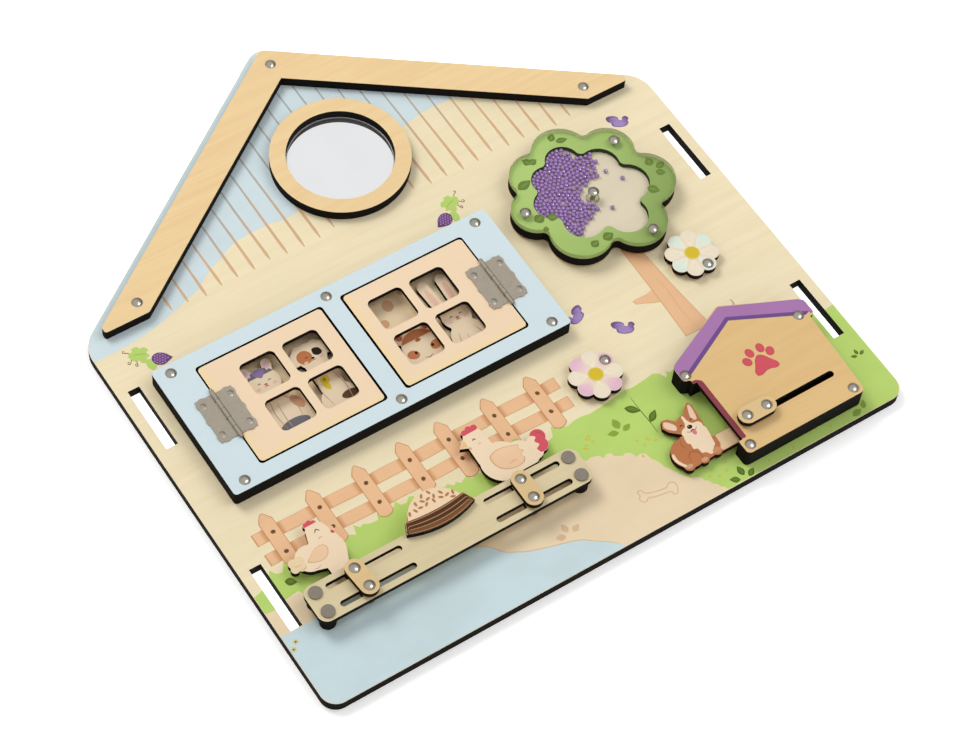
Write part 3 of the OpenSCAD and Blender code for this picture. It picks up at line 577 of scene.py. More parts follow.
def studio_paper(rgb):
    """Pale paper that looks white from the camera under the board's slots and far from the board,
    and keeps the board's shadow in between."""
    s = Shader("Studio paper")
    fleck = s.noise((0.02, 0.02, 0.02), 0, 2)
    tone = s.mix(s.span(fleck, 0.3, 0.7, 0, 0.3), rgb, darker(rgb, 0.985))
    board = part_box("back_panel")[1]
    x, y = (s.math("DIVIDE", s.math("ABSOLUTE", s.axis("Object", k)), board[k] - 3 * MM) for k in (0, 1))
    path = s.node("LightPath")
    seen = s.math("MAXIMUM", path["Is Camera Ray"], path["Is Glossy Ray"])
    out = s.math("MAXIMUM", x, y)
    near = s.math("ADD", s.span(out, 0.98, 1.0, 0.7, 0), s.span(out, 2, 6, 0.3, 1.0))
    return s.put(Base_Color=tone, Roughness=0.9, Specular_IOR_Level=0.0, Emission_Color=(1, 1, 1),
                 Emission_Strength=s.math("MULTIPLY", seen, near))


def dress(names, material):
    """Gives CAD nodes a material."""
    for name in names:
        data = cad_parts[name].data
        data.materials.clear()
        data.materials.append(material)


def middle(name):
    """Middle of a node's box, and its top, in the frame's metres."""
    low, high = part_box(name)
    return (low.x + high.x) / 2, (low.y + high.y) / 2, high.z


def here(context):
    """The scene's sizes and colours."""
    return context.scene.busy_board_sizes, context.scene.busy_board_inks


class Piece:
    """What every operator here shares: it can be undone."""
    bl_options = {"REGISTER", "UNDO"}


# --- Prints on the board ---

def board_drawing(sizes):
    """Drawing in the house's own axes: X from the middle, Y from the bottom edge."""
    low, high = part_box("front_panel")
    return Drawing((0, low.y, high.z), sizes)


def board_shape():
    """Half width, and chains for the board's lower and upper edge, in millimetres."""
    w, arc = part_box("front_panel")[1].x / MM, 14
    corners = [(-w, 0), (w, 0), (w, WALL_TOP), (0, WALL_TOP + ROOF_SLOPE * w), (-w, WALL_TOP)]
    p = shrink(rounded(corners, CORNER_RADII, arc), PRINT_SHARE)
    low, high = p[:2 * arc], p[2 * arc:][::-1]
    return w, low[np.argsort(low[:, 0])], high[np.argsort(high[:, 0])]


class BUSYBOARD_OT_landscape(Piece, bpy.types.Operator):
    """Print the sky, the sandy ground, the pond and the grass"""
    bl_idname = "busyboard.landscape"
    bl_label = "Landscape"

    def execute(self, context):
        sizes, inks = here(context)
        w, low, high = board_shape()
        d = board_drawing(sizes)
        edge = w - 0.25
        horizon = flow([
            (-edge, 223.8), (-160, 223.8), (-149.4, 224.4), (-142.2, 225.2), (-130.3, 227.4), (-118.4, 231),
            (-108.9, 233.9), (-103, 235.7), (-98.2, 239.3), (-91, 243.5), (-83.9, 246.4), (-78, 249.4),
            (-70.8, 251.4), (-53, 252.4), (-37.5, 251.2), (0, 262), (43.9, 270.9), (50.2, 272.7),
            (60.2, 273.7), (71.5, 273.4), (79, 271.6)], 6, False)
        eaves = high[(high[:, 0] > -edge) & (high[:, 0] < 0)]
        roof = np.vstack([[(-edge, 225)], eaves, [(0.5, 336), (79, 281)]])
        d.area(horizon, roof, inks.sky, 0, STRAP_SLOTS, 2.0)
        shore = flow([
            (-edge, 44.2), (-140, 44.3), (-100, 44.2), (-76, 41.8), (-63, 36.7), (-57.9, 32.7),
            (-54, 27.7), (-49, 24.8), (-44, 22.3), (-33.1, 18.8), (-19.9, 14.8), (-12.9, 9.9),
            (-6.9, 5.7), (-2.4, 1.2)], 6, False)
        sand = [(-edge, 60), (-150, 60), (-120, 56), (0, 56), (9, 56), (33, 46), (46, 30), (60, 14), (64, 2)]
        d.area(low, sand, inks.ground, 0, STRAP_SLOTS, 3.0)
        d.area(low, shore, inks.pond, 1, STRAP_SLOTS, 3.0)
        rim = shore[shore[:, 0] > -75]
        d.plate(stroke(rim[::3], 0.55, 0.6, 3), blend(inks.ground, inks.bark, 0.45), 2)
        turf = [
            (-edge, 69.0), (-167, 69.6), (-164.3, 70.4), (-164.2, 76), (-157.8, 75.2), (-156.1, 77.9),
            (-154.7, 75.2), (-153.2, 74), (-151.2, 73.9), (-149.6, 76), (-148.2, 78.4), (-146.8, 76.4),
            (-144, 75.4), (-140, 77), (-136, 75), (-130, 76.5), (-124, 75), (-119, 77), (-116.9, 74.9),
            (-112.5, 74.5), (-110.2, 73), (-108.8, 78.4), (-106.6, 75.6), (-104.4, 76.4), (-101, 74.9),
            (-97, 74.5), (-95.4, 78.4), (-93.4, 76.2), (-90, 75.2), (-86.4, 77), (-84.6, 79.2), (-83, 76),
            (-80, 75.5), (-77.5, 77.9), (-75.6, 77.4), (-74.5, 75.5), (-68, 74.5), (-62, 75), (-59.5, 73.2),
            (-57.6, 74.3), (-55, 71.8), (-53, 73), (-51.3, 71.2), (-47.3, 73.2), (-45.2, 70.6), (-42.2, 72),
            (-40, 70.8), (-36, 72.6), (-30, 71), (-24, 72.4), (-15, 71), (-8, 71.5), (-2.1, 69), (2, 70),
            (4.4, 75.8), (6.2, 72.4), (12.1, 71.4), (16, 72.3), (20.5, 72.5), (25, 71.6), (30, 71.9),
            (35, 72.5), (39.5, 73), (43.5, 73.5), (46.7, 74.4), (52, 73.4), (56.2, 73.8), (61, 74.2),
            (65.7, 75), (68.7, 73.2), (70.3, 69.8), (71.4, 70.2), (72.3, 72.8), (74, 71), (75.2, 71.6),
            (80, 70.5), (110, 70), (150, 64), (156, 62.4), (160, 61.5), (164.5, 61.2), (edge, 61.8)]
        meadow = [
            (-edge, 58.6), (-164.3, 58.2), (-157.7, 60.4), (-150, 61.4), (-148, 58), (3, 56), (8, 50),
            (12, 50.4), (15.7, 48.9), (16.6, 46.6), (18.6, 47.9), (21.1, 47.5), (22, 44.8), (25.8, 42.9),
            (27.5, 43.7), (30, 42.2), (31, 38.8), (33.4, 39.7), (36, 38), (36.6, 34.4), (38.3, 32),
            (38.9, 30), (39.6, 27), (41, 25), (43.4, 20), (46.7, 15.6), (49, 14.6), (51.4, 13),
            (52.2, 10.4), (53.8, 9.4), (54.6, 6.6), (56.2, 5.9), (57, 3.4), (58.6, 2.3), (59.4, 0.4)]
        d.area(np.vstack([meadow, low[low[:, 0] > 60]]), turf, inks.grass, 1, STRAP_SLOTS, 3.0)
        d.object("printed_landscape", "board", "printed_face")
        return {"FINISHED"}


class BUSYBOARD_OT_siding(Piece, bpy.types.Operator):
    """Print the tapering lines under the roof that stand for boards"""
    bl_idname = "busyboard.siding"
    bl_label = "Siding lines"
    first, count = -121.3, 26       # place of the leftmost line, and how many there are
    ridge, slope = 332, 0.708       # height of their tops under the ridge, and its fall outwards
    middle, level, lifted = 0.5, 40, 26     # their feet are level, and lifted, this near the middle
    lift = 2

    def execute(self, context):
        sizes, inks = here(context)
        d = board_drawing(sizes)
        foot = sizes.siding_foot / MM
        for k in range(self.count):
            x = self.first + sizes.siding_pitch / MM * k
            top = self.ridge - self.slope * abs(x)
            away = abs(x - self.middle)
            down = foot if k % 2 or away < self.level else foot + 1.6 * math.sin(2.3 * k)
            down = foot + self.lift if away < self.lifted else down
            y = np.linspace(down, top, 16)
            along = (y - down) / (top - down)
            half = sizes.siding_width / MM / 2 * np.minimum(0.35 + (y - down) / 5, 1.15 - 0.6 * along)
            sway = x + 0.12 * np.sin(y / 11 + 2 * k)
            height = np.concatenate([y, y[::-1]])
            line = np.column_stack([np.concatenate([sway + half, (sway - half)[::-1]]), height])
            horizon = 252 if x < -60 else 272
            fade = np.clip((height - horizon) / 12, 0, 1)
            tone = blend(blend(inks.tan, inks.birch, 0.12), blend(inks.sky, inks.nail, 0.5), fade)
            d.plate(line, tone, 2)
        d.object("printed_siding", "board", "printed_face")
        return {"FINISHED"}


class BUSYBOARD_OT_fence(Piece, bpy.types.Operator):
    """Print the picket fence with its rails, shades and nails"""
    bl_idname = "busyboard.fence"
    bl_label = "Picket fence"
    # Middle of each picket, and how far its foot is lifted
    pickets = ((-143.8, 3.2), (-117.6, 0.6), (-91.2, 1.6), (-66, 2.4), (-43.3, -1.4), (-16.4, 0), (9.3, 0))
    rails = ((79.4, 6.4), (91.8, 6.6))      # foot and height of each rail
    nails = (82.7, 95.1)                    # heights of each picket's two nails
    left, right = -154.2, 21.4              # ends of the rails

    def execute(self, context):
        sizes, inks = here(context)
        d = board_drawing(sizes)
        w, tip = sizes.picket_width / MM, sizes.picket_top / MM
        at = np.array([x for x, lift in self.pickets])
        x = np.unique(np.round(np.concatenate([np.arange(self.left, self.right, 0.8), [self.right]]), 3))
        away = np.abs(x[:, None] - at[None, :]).min(1) - w / 2
        shade = blend(inks.bark, inks.peach, np.clip(away / 2.6, 0.12, 1))
        for base, height in self.rails:
            foot = base + 0.16 * np.sin(x / 5.3 + base)
            d.band(x, foot - 0.25, foot + height + 0.25, blend(inks.bark, inks.peach, 0.35), 2)
            d.band(x[1:-1], foot[1:-1], (foot + height)[1:-1], shade[1:-1], 3)
        shape = np.array([(-0.5, 74.2), (-0.27, 72.7), (0, 72.3), (0.28, 72.9), (0.5, 74.4), (0.5, tip - 4.6),
                          (0.33, tip - 2.8), (0.12, tip - 0.5), (0, tip), (-0.14, tip - 0.5),
                          (-0.34, tip - 2.7), (-0.5, tip - 4.7)])
        for k, (cx, lift) in enumerate(self.pickets):
            p = shape * (w, 1)
            p[:5, 1] += lift
            p[:, 0] += cx + 0.1 * math.sin(3 * k)
            p[:, 1] += 0.3 * math.sin(5 * k)
            d.plate(p, blend(inks.bark, inks.nail, 0.12), 4)
            q = p.copy()
            q[:, 0] = cx + (p[:, 0] - cx) * (1 - 0.55 / w)
            q[:, 1] = np.where(p[:, 1] > 90, p[:, 1] - 0.35, p[:, 1] + 0.3)
            d.plate(q, inks.peach, 5)
            for y in self.nails:
                d.plate(oval(cx + 0.15, y, 1.25, 1.1, 20 * k, 14), inks.nail, 6)
        d.object("printed_fence", "board", "printed_face")
        return {"FINISHED"}


class BUSYBOARD_OT_garden(Piece, bpy.types.Operator):
    """Print the trunk, leaves, berries, butterflies, bone and small flowers"""
    bl_idname = "busyboard.garden"
    bl_label = "Garden prints"
    # Place, length, width and bearing of each leaf
    dark_leaves = ((44.9, 62.6, 8.4, 4.2, -42), (51.6, 54.4, 7.8, 3.8, 38), (-150.4, 67.3, 6.2, 4.2, -34),
                   (65.2, 3.0, 5.6, 3.4, 150), (70.6, 5.8, 6.0, 3.6, 92), (74.8, 2.5, 5.4, 3.2, 32),
                   (159.9, 30.6, 3.6, 1.9, 155), (162.4, 32.3, 3.6, 1.9, 92), (164.9, 30.6, 3.6, 1.9, 25))
    sprigs = ((33.0, 60.0, 6.4, 4.2, 88), (28.6, 56.0, 6.0, 3.4, 162), (36.6, 55.6, 5.6, 3.2, 20),
              (141, 3.0, 6.4, 3.6, 12), (146.6, 5.4, 5.4, 3.0, 60))
    dry_leaves = ((-26.6, 20.4, 5.4, 3.4, 165), (-22.2, 23.8, 5.4, 3.4, 96), (-17.2, 21.2, 5.2, 3.4, 24))
    # Place and radius of each yellow dot, and places of the two flowers on the pond
    dots = ((11.6, 56.2, 0.8), (13.2, 57.2, 0.8), (12.8, 55.4, 0.7), (15.4, 60.2, 0.8), (17.2, 61, 0.8),
            (16.6, 59.2, 0.7), (17.4, 57.4, 0.7), (38.3, 42.6, 0.8), (41.4, 45, 0.9), (42.4, 43.8, 0.7),
            (44.6, 42, 0.8), (36.4, 46.4, 0.7), (34, 37.6, 0.7), (55.8, 11, 0.8), (60, 8.6, 0.7),
            (64.8, 9.6, 0.8), (86.4, 3.6, 0.7), (101, 2.9, 0.7), (124.6, 3.4, 0.7))
    pond_flowers = ((-165.1, 38.7), (-168.0, 35.6))

    def trunk(self, d, inks):
        """Trunk that widens downwards, and one branch to the left."""
        foot, top = 84.6, 146
        y = np.linspace(foot, top, 14)
        t = (top - y) / (top - foot)
        left, right = 95.0 - 1.6 * t ** 2, 104.4 + 4.2 * t ** 1.6
        half_shade = blend(inks.bark, inks.peach, 0.5)
        d.plate(np.vstack([np.column_stack([right, y]), np.column_stack([left, y])[::-1]]), half_shade, 3)
        core = np.vstack([np.column_stack([right - 0.45, y]), np.column_stack([left + 0.45, y])[::-1]])
        d.plate(core, blend(inks.peach, inks.bark, np.clip((core[:, 1] - 128) / 40, 0.02, 0.4)), 4)
        branch = [(95.8, 117.2), (90.5, 116.2), (84.6, 116.4), (81.9, 115.9), (82.8, 113.6), (86.6, 112.2),
                  (91, 109.8), (95.8, 108.2)]
        d.framed(branch, half_shade, inks.peach, 1, 0.93)
        d.line([(101.2, 88), (100.6, 100), (101.4, 112), (100.8, 126)], 0.5, 0.1,
               blend(inks.peach, inks.bark, 0.35), 5)

    def leaves(self, d, inks):
        """Dark and mid-green leaves, singly and in threes, and twigs."""
        for x, y, long, wide, turn in self.dark_leaves:
            d.plate(blade(x, y, long, wide, turn), inks.leaf, 2)
            vein = shrink(blade(x + 0.2, y + 0.2, long * 0.8, wide * 0.5, turn), 0.9)
            d.plate(vein, blend(inks.leaf, inks.sprig, 0.3), 3)
        d.plate(oval(-15.7, 77.0, 2.1, 1.7, 20), blend(inks.grass, inks.sprig, 0.4), 7)
        d.blades(self.sprigs, inks.sprig, 2)
        d.line([(48.1, 69.4), (48.0, 60), (48.3, 52), (48.1, 45)], 0.45, 0.3, inks.leaf, 2)
        d.blades(self.dry_leaves, blend(inks.ground, inks.bark, 0.45), 2)
        d.line([(125.6, 86.6), (126.3, 89.4), (125.9, 91.6)], 0.5, 0.5, blend(inks.birch, inks.nail, 0.7), 2)
        d.line([(126.2, 89.0), (124.9, 87.9)], 0.4, 0.5, blend(inks.birch, inks.nail, 0.6), 2)

    def blooms(self, d, inks):
        """Yellow dots on grass and sand, and two small flowers on the water."""
        for x, y, r in self.dots:
            d.plate(oval(x, y, r * 1.1, r * 0.8, 40 * x, 10), blend(inks.grass, inks.yolk, 0.75), 2)
        for x, y in self.pond_flowers:
            for turn in range(20, 380, 72):
                u, v = (x, y) + 0.85 * bearing(turn)
                d.plate(oval(u, v, 0.7, 0.5, turn, 10), blend(inks.pond, inks.yolk, 0.7), 2)
            d.plate(oval(x, y, 0.5, 0.5, 0, 10), inks.leaf, 3)

    def bone(self, d, inks):
        """Outline of a bone: its edge curve moved out and in along the curve's normals."""
        p = flow([(-8.6, 4.8), (-6.6, 5.0), (-5.6, 2.7), (-2.1, 1.1), (4.9, -0.2), (7.2, 1.1), (9.8, 0.6),
                  (10.5, -1.6), (9.8, -3.6), (8.3, -5.5), (6.4, -5.2), (5.6, -3.2), (-2.1, -1.8),
                  (-5.6, -0.6), (-7.8, -1.7), (-9.6, -0.7), (-9.9, 1.1), (-8.6, 2.6)], 5)[::-1]
        along = np.roll(p, -1, 0) - np.roll(p, 1, 0)
        half = 0.27
        out = np.column_stack([along[:, 1], -along[:, 0]]) / np.linalg.norm(along, axis=1)[:, None] * half
        at = (28.3, 17.2)
        d.hoop(moved(p + out, *at), moved(p - out, *at), blend(inks.ground, inks.bark, 0.5), 2)

    def butterfly(self, d, inks, x, y, turn, flip):
        """Large and small wing that meet at the foot, each dark with a lighter middle."""
        big = flow([(0, 0), (1.9, 1.8), (2.2, 3.6), (1.2, 4.6), (1.9, 6.0), (0.6, 8.2), (-2.0, 9.6),
                    (-3.9, 9.2), (-4.3, 6.8), (-3.4, 5.4), (-4.0, 3.4), (-2.4, 1.4)], 4)
        small = flow([(0.1, 0), (2.4, -0.6), (4.4, 0.2), (4.8, 1.6), (6.3, 2.4), (5.9, 4.4), (4.2, 4.9),
                      (3.0, 3.8), (1.4, 2.6)], 4)
        dark = blend(inks.plum, inks.nail, 0.4)
        for p, tip, level in ((big, (-3.9, 9.2), 2), (small, (6.3, 3.4), 4)):
            far = np.linalg.norm(p - tip, axis=1)
            rim = blend(dark, blend(inks.plum, inks.wing, 0.45), np.clip((far - 1) / 4, 0, 1))
            core = blend(inks.plum, blend(inks.wing, inks.sky, 0.12), np.clip((far - 1) / 3, 0.3, 1))
            d.plate(moved(p * (flip, 1), x, y, turn), rim, level)
            d.plate(moved((p * 0.8 + (0.1, 0.35)) * (flip, 1), x, y, turn), core, level + 1)

    def berry(self, d, inks, x, y, flip):
        """Two leaf blobs, a dotted berry and thin tendrils; offsets run from the large leaf."""
        def put(p, ink, level):
            d.plate(moved(np.asarray(p, float) * (flip, 1), x, y), ink, level)
        light = blend(inks.grass, inks.sprig, 0.1)
        for u, v in ((-5.6, 4.4), (-6.4, -2.6), (-3.6, -5.4)):
            tendril = [(-2.4, -0.4), ((u - 2) / 2, v / 2 + 0.8), (u, v), (u - 0.9, v + 0.5),
                       (u - 0.5, v + 1.4), (u + 0.3, v + 1.1)]
            put(stroke(tendril, 0.34, 0.5), inks.nail, 2)
        put(flow([(-5.2, 0.8), (-4.4, 3.0), (-2.4, 3.2), (-1.6, 4.9), (1.2, 4.7), (1.9, 3.2), (4.0, 2.9),
                  (5.3, 0.6), (3.6, -0.8), (4.3, -2.8), (2.2, -3.6), (0.9, -5.9), (-1.2, -4.4), (-1.5, -3.0),
                  (-3.5, -2.5)], 5), light, 3)
        put(flow([(1.4, -4.6), (4.0, -5.4), (5.0, -8.2), (3.6, -11.0), (1.4, -11.2), (0.2, -8.0)], 5),
            light, 3)
        put(stroke([(-3.2, 1.2), (0.4, 0.2), (3.6, -1.6)], 0.3, 0.2), inks.sprig, 4)
        put(flow([(4.2, -5.2), (5.6, -3.8), (8.4, -3.6), (11.2, -5.4), (13.2, -8.6), (13.6, -9.6),
                  (11.0, -10.6), (7.6, -11.2), (4.8, -9.6), (3.8, -7.2)], 5),
            darker(blend(inks.plum, inks.maroon, 0.2), 0.85), 4)
        for j in range(5):
            for i in range(7):
                u, v = 4.7 + 1.5 * (i + 0.5 * (j % 2)), -10.1 + 1.35 * j
                if ((u - 7.6) / 4.6) ** 2 + ((v + 7.3) / 3.3) ** 2 < 0.9:
                    put(oval(u, v, 0.5, 0.44, 0, 8), blend(inks.wing, inks.pink, 0.12), 5)

    def execute(self, context):
        sizes, inks = here(context)
        d = board_drawing(sizes)
        self.trunk(d, inks)
        self.leaves(d, inks)
        self.blooms(d, inks)
        self.bone(d, inks)
        for place in ((141.6, 211.4, 6, 1), (52.0, 119.8, -8, -1), (69.0, 101.4, 4, 1)):
            self.butterfly(d, inks, *place)
        for place in ((-148.6, 216.4, 1), (35.4, 215.6, -1)):
            self.berry(d, inks, *place)
        d.object("printed_garden", "board", "printed_face")
        return {"FINISHED"}


# --- Prints on the pieces ---

class BUSYBOARD_OT_hens(Piece, bpy.types.Operator):
    """Print combs, wings, tails and faces on the two hens"""
    bl_idname = "busyboard.hens"
    bl_label = "Hens"

    def drawing(self, sizes, hen):
        """Drawing on a hen's face, about the middle of its handle."""
        x, y, _ = middle(hen + "_handle")
        return Drawing((x, y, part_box(hen)[1].z), sizes)

    def left(self, sizes, inks):
        """Hen that looks right, with a pale tail."""
        d = self.drawing(sizes, "left_hen")
        comb = [(-5.8, 41.4, 1.6), (-3.8, 42.1, 1.6), (-1.9, 41.1, 1.5)]
        d.plate(star((-3.8, 41.2), comb, -8, 188), inks.red)
        wing = [(-15.2, 23.9), (-12.4, 26.2), (-9.5, 28.2), (-6.4, 29.0), (-4.0, 28.4), (-2.9, 25.8),
                (-5.2, 22.2), (-9, 21.2), (-12.4, 22.0)]
        d.framed(flow(wing, 5), inks.tan, blend(inks.cream, inks.peach, 0.62), 0, 0.93)
        d.line([(-4.2, 35.8), (-2.8, 37.2), (-1.3, 35.9)], 0.55, 0.35, inks.ink)
        d.line([(-4.3, 32.0), (-3.2, 32.6), (-2.1, 32.0)], 0.4, 0.3, inks.bark)
        d.plate([(3.2, 33.6), (4.6, 33.4), (5.0, 34.6), (3.9, 36.2), (2.7, 36.4)], inks.peach)
        d.plate(oval(3.6, 32.3, 0.85, 1.1, 20, 16), inks.red)
        tail = [(-21.7, 26.6, 2.6), (-22.4, 23.5, 2.2), (-18.2, 26.8, 2.4), (-19, 23.2, 2.6)]
        d.plate(star((-19.6, 25), tail), blend(inks.cream, inks.yolk, 0.16))
        for p in ([(-22.6, 25.4), (-20.4, 24.2), (-18.2, 24.6)],
                  [(-20.4, 22.0), (-18.4, 21.6), (-16.6, 22.6)],
                  [(-14.6, 19.2), (-12.6, 18.6), (-10.6, 19.4)]):
            d.line(p, 0.35, 0.2, inks.tan, 1)
        d.object("printed_left_hen", "left_hen", "hen_print")

    def right(self, sizes, inks):
        """Hen that looks left, with a red tail."""
        d = self.drawing(sizes, "right_hen")
        comb = [(-6, 45.8, 1.8), (-3.1, 46.8, 1.9), (-0.2, 46.4, 1.8)]
        d.plate(star((-3.1, 45.6), comb, -14, 194), inks.red)
        d.plate(star((22.6, 23.6), [(24, 26, 4.1), (22.4, 21.4, 4.4)], -150, 128), inks.red)
        d.plate(flow([(20.8, 27.8), (22.8, 26.0), (21.0, 24.2), (22.2, 21.6), (19.8, 20.0), (20.2, 17.6),
                      (17.2, 17.6), (16, 22), (17.6, 26.2)], 5), inks.cream, 1)
        d.line([(24.6, 28.4), (26.4, 26.4), (26.9, 23.6)], 0.4, 0.2, blend(inks.red, inks.maroon, 0.5), 1)
        wing = [(-2.4, 28.4), (-3.4, 24.8), (-2.2, 20.6), (1.2, 17.6), (5.8, 16.4), (10.2, 17.0),
                (12.2, 19.2), (11.2, 21.2), (13.6, 22.8), (12.0, 24.6), (12.8, 27.0), (8, 28.8), (2.6, 29.8)]
        d.framed(flow(wing, 5), inks.tan, blend(inks.cream, inks.peach, 0.66), 0, 0.94)
        d.line([(3.4, 19.6), (6.4, 20.4), (8.2, 19.2)], 0.4, 0.2, inks.tan, 2)
        d.line([(-4.9, 40.0), (-4.0, 40.7), (-3.0, 40.1)], 0.55, 0.4, inks.ink)
        d.plate(oval(-2.6, 37.2, 0.9, 0.5, 0, 12), blend(inks.cream, inks.red, 0.35))
        d.plate([(-8.6, 42.5), (-12.4, 39.3), (-8.6, 38.1)], blend(inks.peach, inks.yolk, 0.2))
        d.plate(oval(-8.2, 37.0, 0.5, 0.9, 10, 12), blend(inks.cream, inks.red, 0.6), 1)
        d.object("printed_right_hen", "right_hen", "hen_print")

    def execute(self, context):
        self.left(*here(context))
        self.right(*here(context))
        return {"FINISHED"}


class BUSYBOARD_OT_trough(Piece, bpy.types.Operator):
    """Print the striped bowl and the seeds on the heap"""
    bl_idname = "busyboard.trough"
    bl_label = "Trough"
    # Bowl: half width, rise of its foot's arc over a half chord, and where its corners start
    half, rise, chord, corner = 18.9, 4.0, 19.3, 16.4
    rim_top, rim_dip = 10.3, 1.5
    heap = 10                               # height of the heap's middle

    def bowl(self, d, inks):
        """Bowl over an arc, with stripes that follow its foot and rim."""
        x = np.linspace(-self.half, self.half, 49)
        arc = (self.chord ** 2 + self.rise ** 2) / (2 * self.rise)
        foot = arc - np.sqrt(arc ** 2 - x ** 2) + 0.03
        side = np.where(np.abs(x) > self.corner, 10.1 - (np.abs(x) - self.corner) * 6.2 / 2.8, np.inf)
        rim = np.minimum(self.rim_top - self.rim_dip * (1 - (x / 17) ** 2).clip(0), side)
        rim = np.maximum(rim, foot + 0.05)
        dark, light = darker(inks.nail, 0.42), blend(inks.bark, inks.nail, 0.3)
        warm = blend(dark, light, 0.28)
        d.band(x, foot, rim, dark)
        for a, b, tone in ((0.04, 0.1, light), (0.13, 0.27, warm), (0.31, 0.37, light), (0.58, 0.64, light),
                           (0.88, 0.95, light)):
            low, high = foot + (rim - foot) * a, foot + (rim - foot) * b
            d.band(x[1:-1], low[1:-1], high[1:-1], tone, 1)

    def seeds(self, d, inks, pitch):
        """Rows of seeds, each row shifted by half a pitch, inside the heap's outline."""
        crest = [(*((0, 5.2) + 11.2 * bearing(turn)), 4) for turn in np.arange(28, 153, 20.67)]
        outline = star((0, self.heap), [(0, 4.6, 15.8)] + crest, 0, 180, 60, 1.1)
        reach = np.linalg.norm(outline - (0, self.heap), axis=1)
        bearings, brown = np.linspace(0, np.pi, 60), blend(inks.bark, inks.nail, 0.3)
        for j in range(8):
            for i in range(-8, 9):
                u = pitch * (i + 0.5 * (j % 2)) + 0.45 * math.sin(5 * i + 3 * j)
                v = self.rim_top + 0.78 * pitch * j + 0.35 * math.sin(7 * i + 2 * j)
                far = np.interp(math.atan2(v - self.heap, u), bearings, reach)
                if math.hypot(u, v - self.heap) < far and v > 10.9 - abs(u) / 30:
                    d.plate(oval(u, v, 1.4, 0.68, (53 * i + 97 * j) % 180, 12), brown)

    def execute(self, context):
        sizes, inks = here(context)
        low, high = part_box("trough")
        d = Drawing(((low.x + high.x) / 2, low.y, high.z), sizes)
        self.bowl(d, inks)
        self.seeds(d, inks, sizes.seed_pitch / MM)
        d.object("printed_trough", "board", "trough_print")
        return {"FINISHED"}


class BUSYBOARD_OT_dog(Piece, bpy.types.Operator):
    """Print the dog's face, chest, ears, paws and its bare strap"""
    bl_idname = "busyboard.dog"
    bl_label = "Dog"
    origin = (4.9, -5.6)                    # of the drawing, from the left and middle of the dog's handle

    def coat(self, d, inks):
        """Pale tail, chest and face, and the ears' insides."""
        d.plate(flow([(-40.6, 10.6), (-41, 7.2), (-39.4, 3.4), (-37.6, 1.0), (-36.4, 1.4), (-38.2, 4.2),
                      (-39.4, 7.4), (-39.2, 11.0)], 5), inks.cream)
        d.plate(flow([(-28.6, 17.4), (-29.8, 13), (-28.6, 11.6), (-28.9, 8.6), (-27.0, 7.6), (-26.6, 4.6),
                      (-24.6, 3.8), (-23.0, 1.6), (-21.0, 2.2), (-19.6, 4.4), (-18.0, 5.6), (-17.4, 9),
                      (-16.7, 12), (-16.6, 16.6), (-19, 18.2), (-23, 17)], 4), inks.cream)
        d.plate(flow([(-29.2, 17.8), (-27.6, 20.2), (-25.4, 21.0), (-24.2, 23.4), (-23.8, 26.6),
                      (-22.7, 26.8), (-22.2, 23.4), (-20.8, 21.2), (-18.2, 20.7), (-16.8, 18.9),
                      (-17.6, 16), (-20, 14.1), (-23, 13.6), (-26.6, 14.6)], 4), inks.cream, 1)
        for p in ([(-34.4, 26.2), (-33.2, 24.0), (-30.2, 21.6), (-29.0, 24.2), (-31.2, 27.6), (-33.2, 28.6)],
                  [(-19.8, 23.6), (-17.6, 22.0), (-16.5, 25.0), (-15.9, 29.2), (-16.5, 31.0), (-17.8, 29.6)]):
            d.plate(flow(p, 4), blend(inks.cream, inks.red, 0.14), 1)

    def face(self, d, inks):
        """Nose with its glint, tongue, mouth and closed eyes."""
        d.plate(oval(-23.2, 20.0, 1.4, 1.15, 0, 18), inks.ink, 2)
        d.plate(oval(-23.5, 20.5, 0.35, 0.2, 20, 8), blend(inks.ink, inks.cream, 0.6), 3)
        d.plate(oval(-22.9, 16.3, 1.15, 1.6, 0, 18), blend(inks.red, inks.pink, 0.25), 2)
        d.line([(-26.2, 18.3), (-24.6, 17.3), (-23.1, 18.1), (-21.6, 17.3), (-20.2, 18.5)], 0.4, 0.3,
               inks.ink, 3)
        for p in ([(-27.6, 22.2), (-26.6, 22.9), (-25.6, 22.3)],
                  [(-20.8, 22.9), (-19.9, 23.5), (-19.0, 22.9)]):
            d.line(p, 0.45, 0.4, inks.ink, 2)

    def body(self, d, inks):
        """Haunch, shoulder, paws and the strap."""
        deep = blend(inks.ginger, inks.nail, 0.45)
        d.line([(-34.4, 2.4), (-33.4, 6.2), (-30.6, 7.8), (-28.2, 6.2), (-27.6, 2.6), (-28.6, 0.8)], 0.6, 0.3,
               deep, 1)
        d.line([(-31.4, 16.6), (-32.8, 13.4), (-31.8, 10.2)], 0.45, 0.2, deep, 1)
        for x, y in ((-36.4, 1.3), (-27.6, 0.7)):
            d.plate(oval(x, y, 1.9, 1.2, 0, 16), blend(inks.ginger, inks.cream, 0.35), 1)
        d.plate(flow([(-15.2, 9.5), (-3.4, 9.5), (-3.4, 0.4), (-16.4, 0.4), (-17.2, 2), (-15.6, 4.4)], 1),
                blend(inks.plain, inks.peach, 0.4))
        d.plate(oval(-19.3, 2.0, 2.3, 1.9, 0, 20), blend(inks.ginger, inks.peach, 0.3), 2)
        for x in (-20.1, -18.7):
            d.line([(x, 0.5), (x, 1.5)], 0.25, 0.6, deep, 3)

    def execute(self, context):
        sizes, inks = here(context)
        low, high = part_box("dog_handle")
        x, y = self.origin
        d = Drawing((low.x + x * MM, (low.y + high.y) / 2 + y * MM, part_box("dog")[1].z), sizes)
        self.coat(d, inks)
        self.face(d, inks)
        self.body(d, inks)
        d.object("printed_dog", "dog", "dog_print")
        return {"FINISHED"}


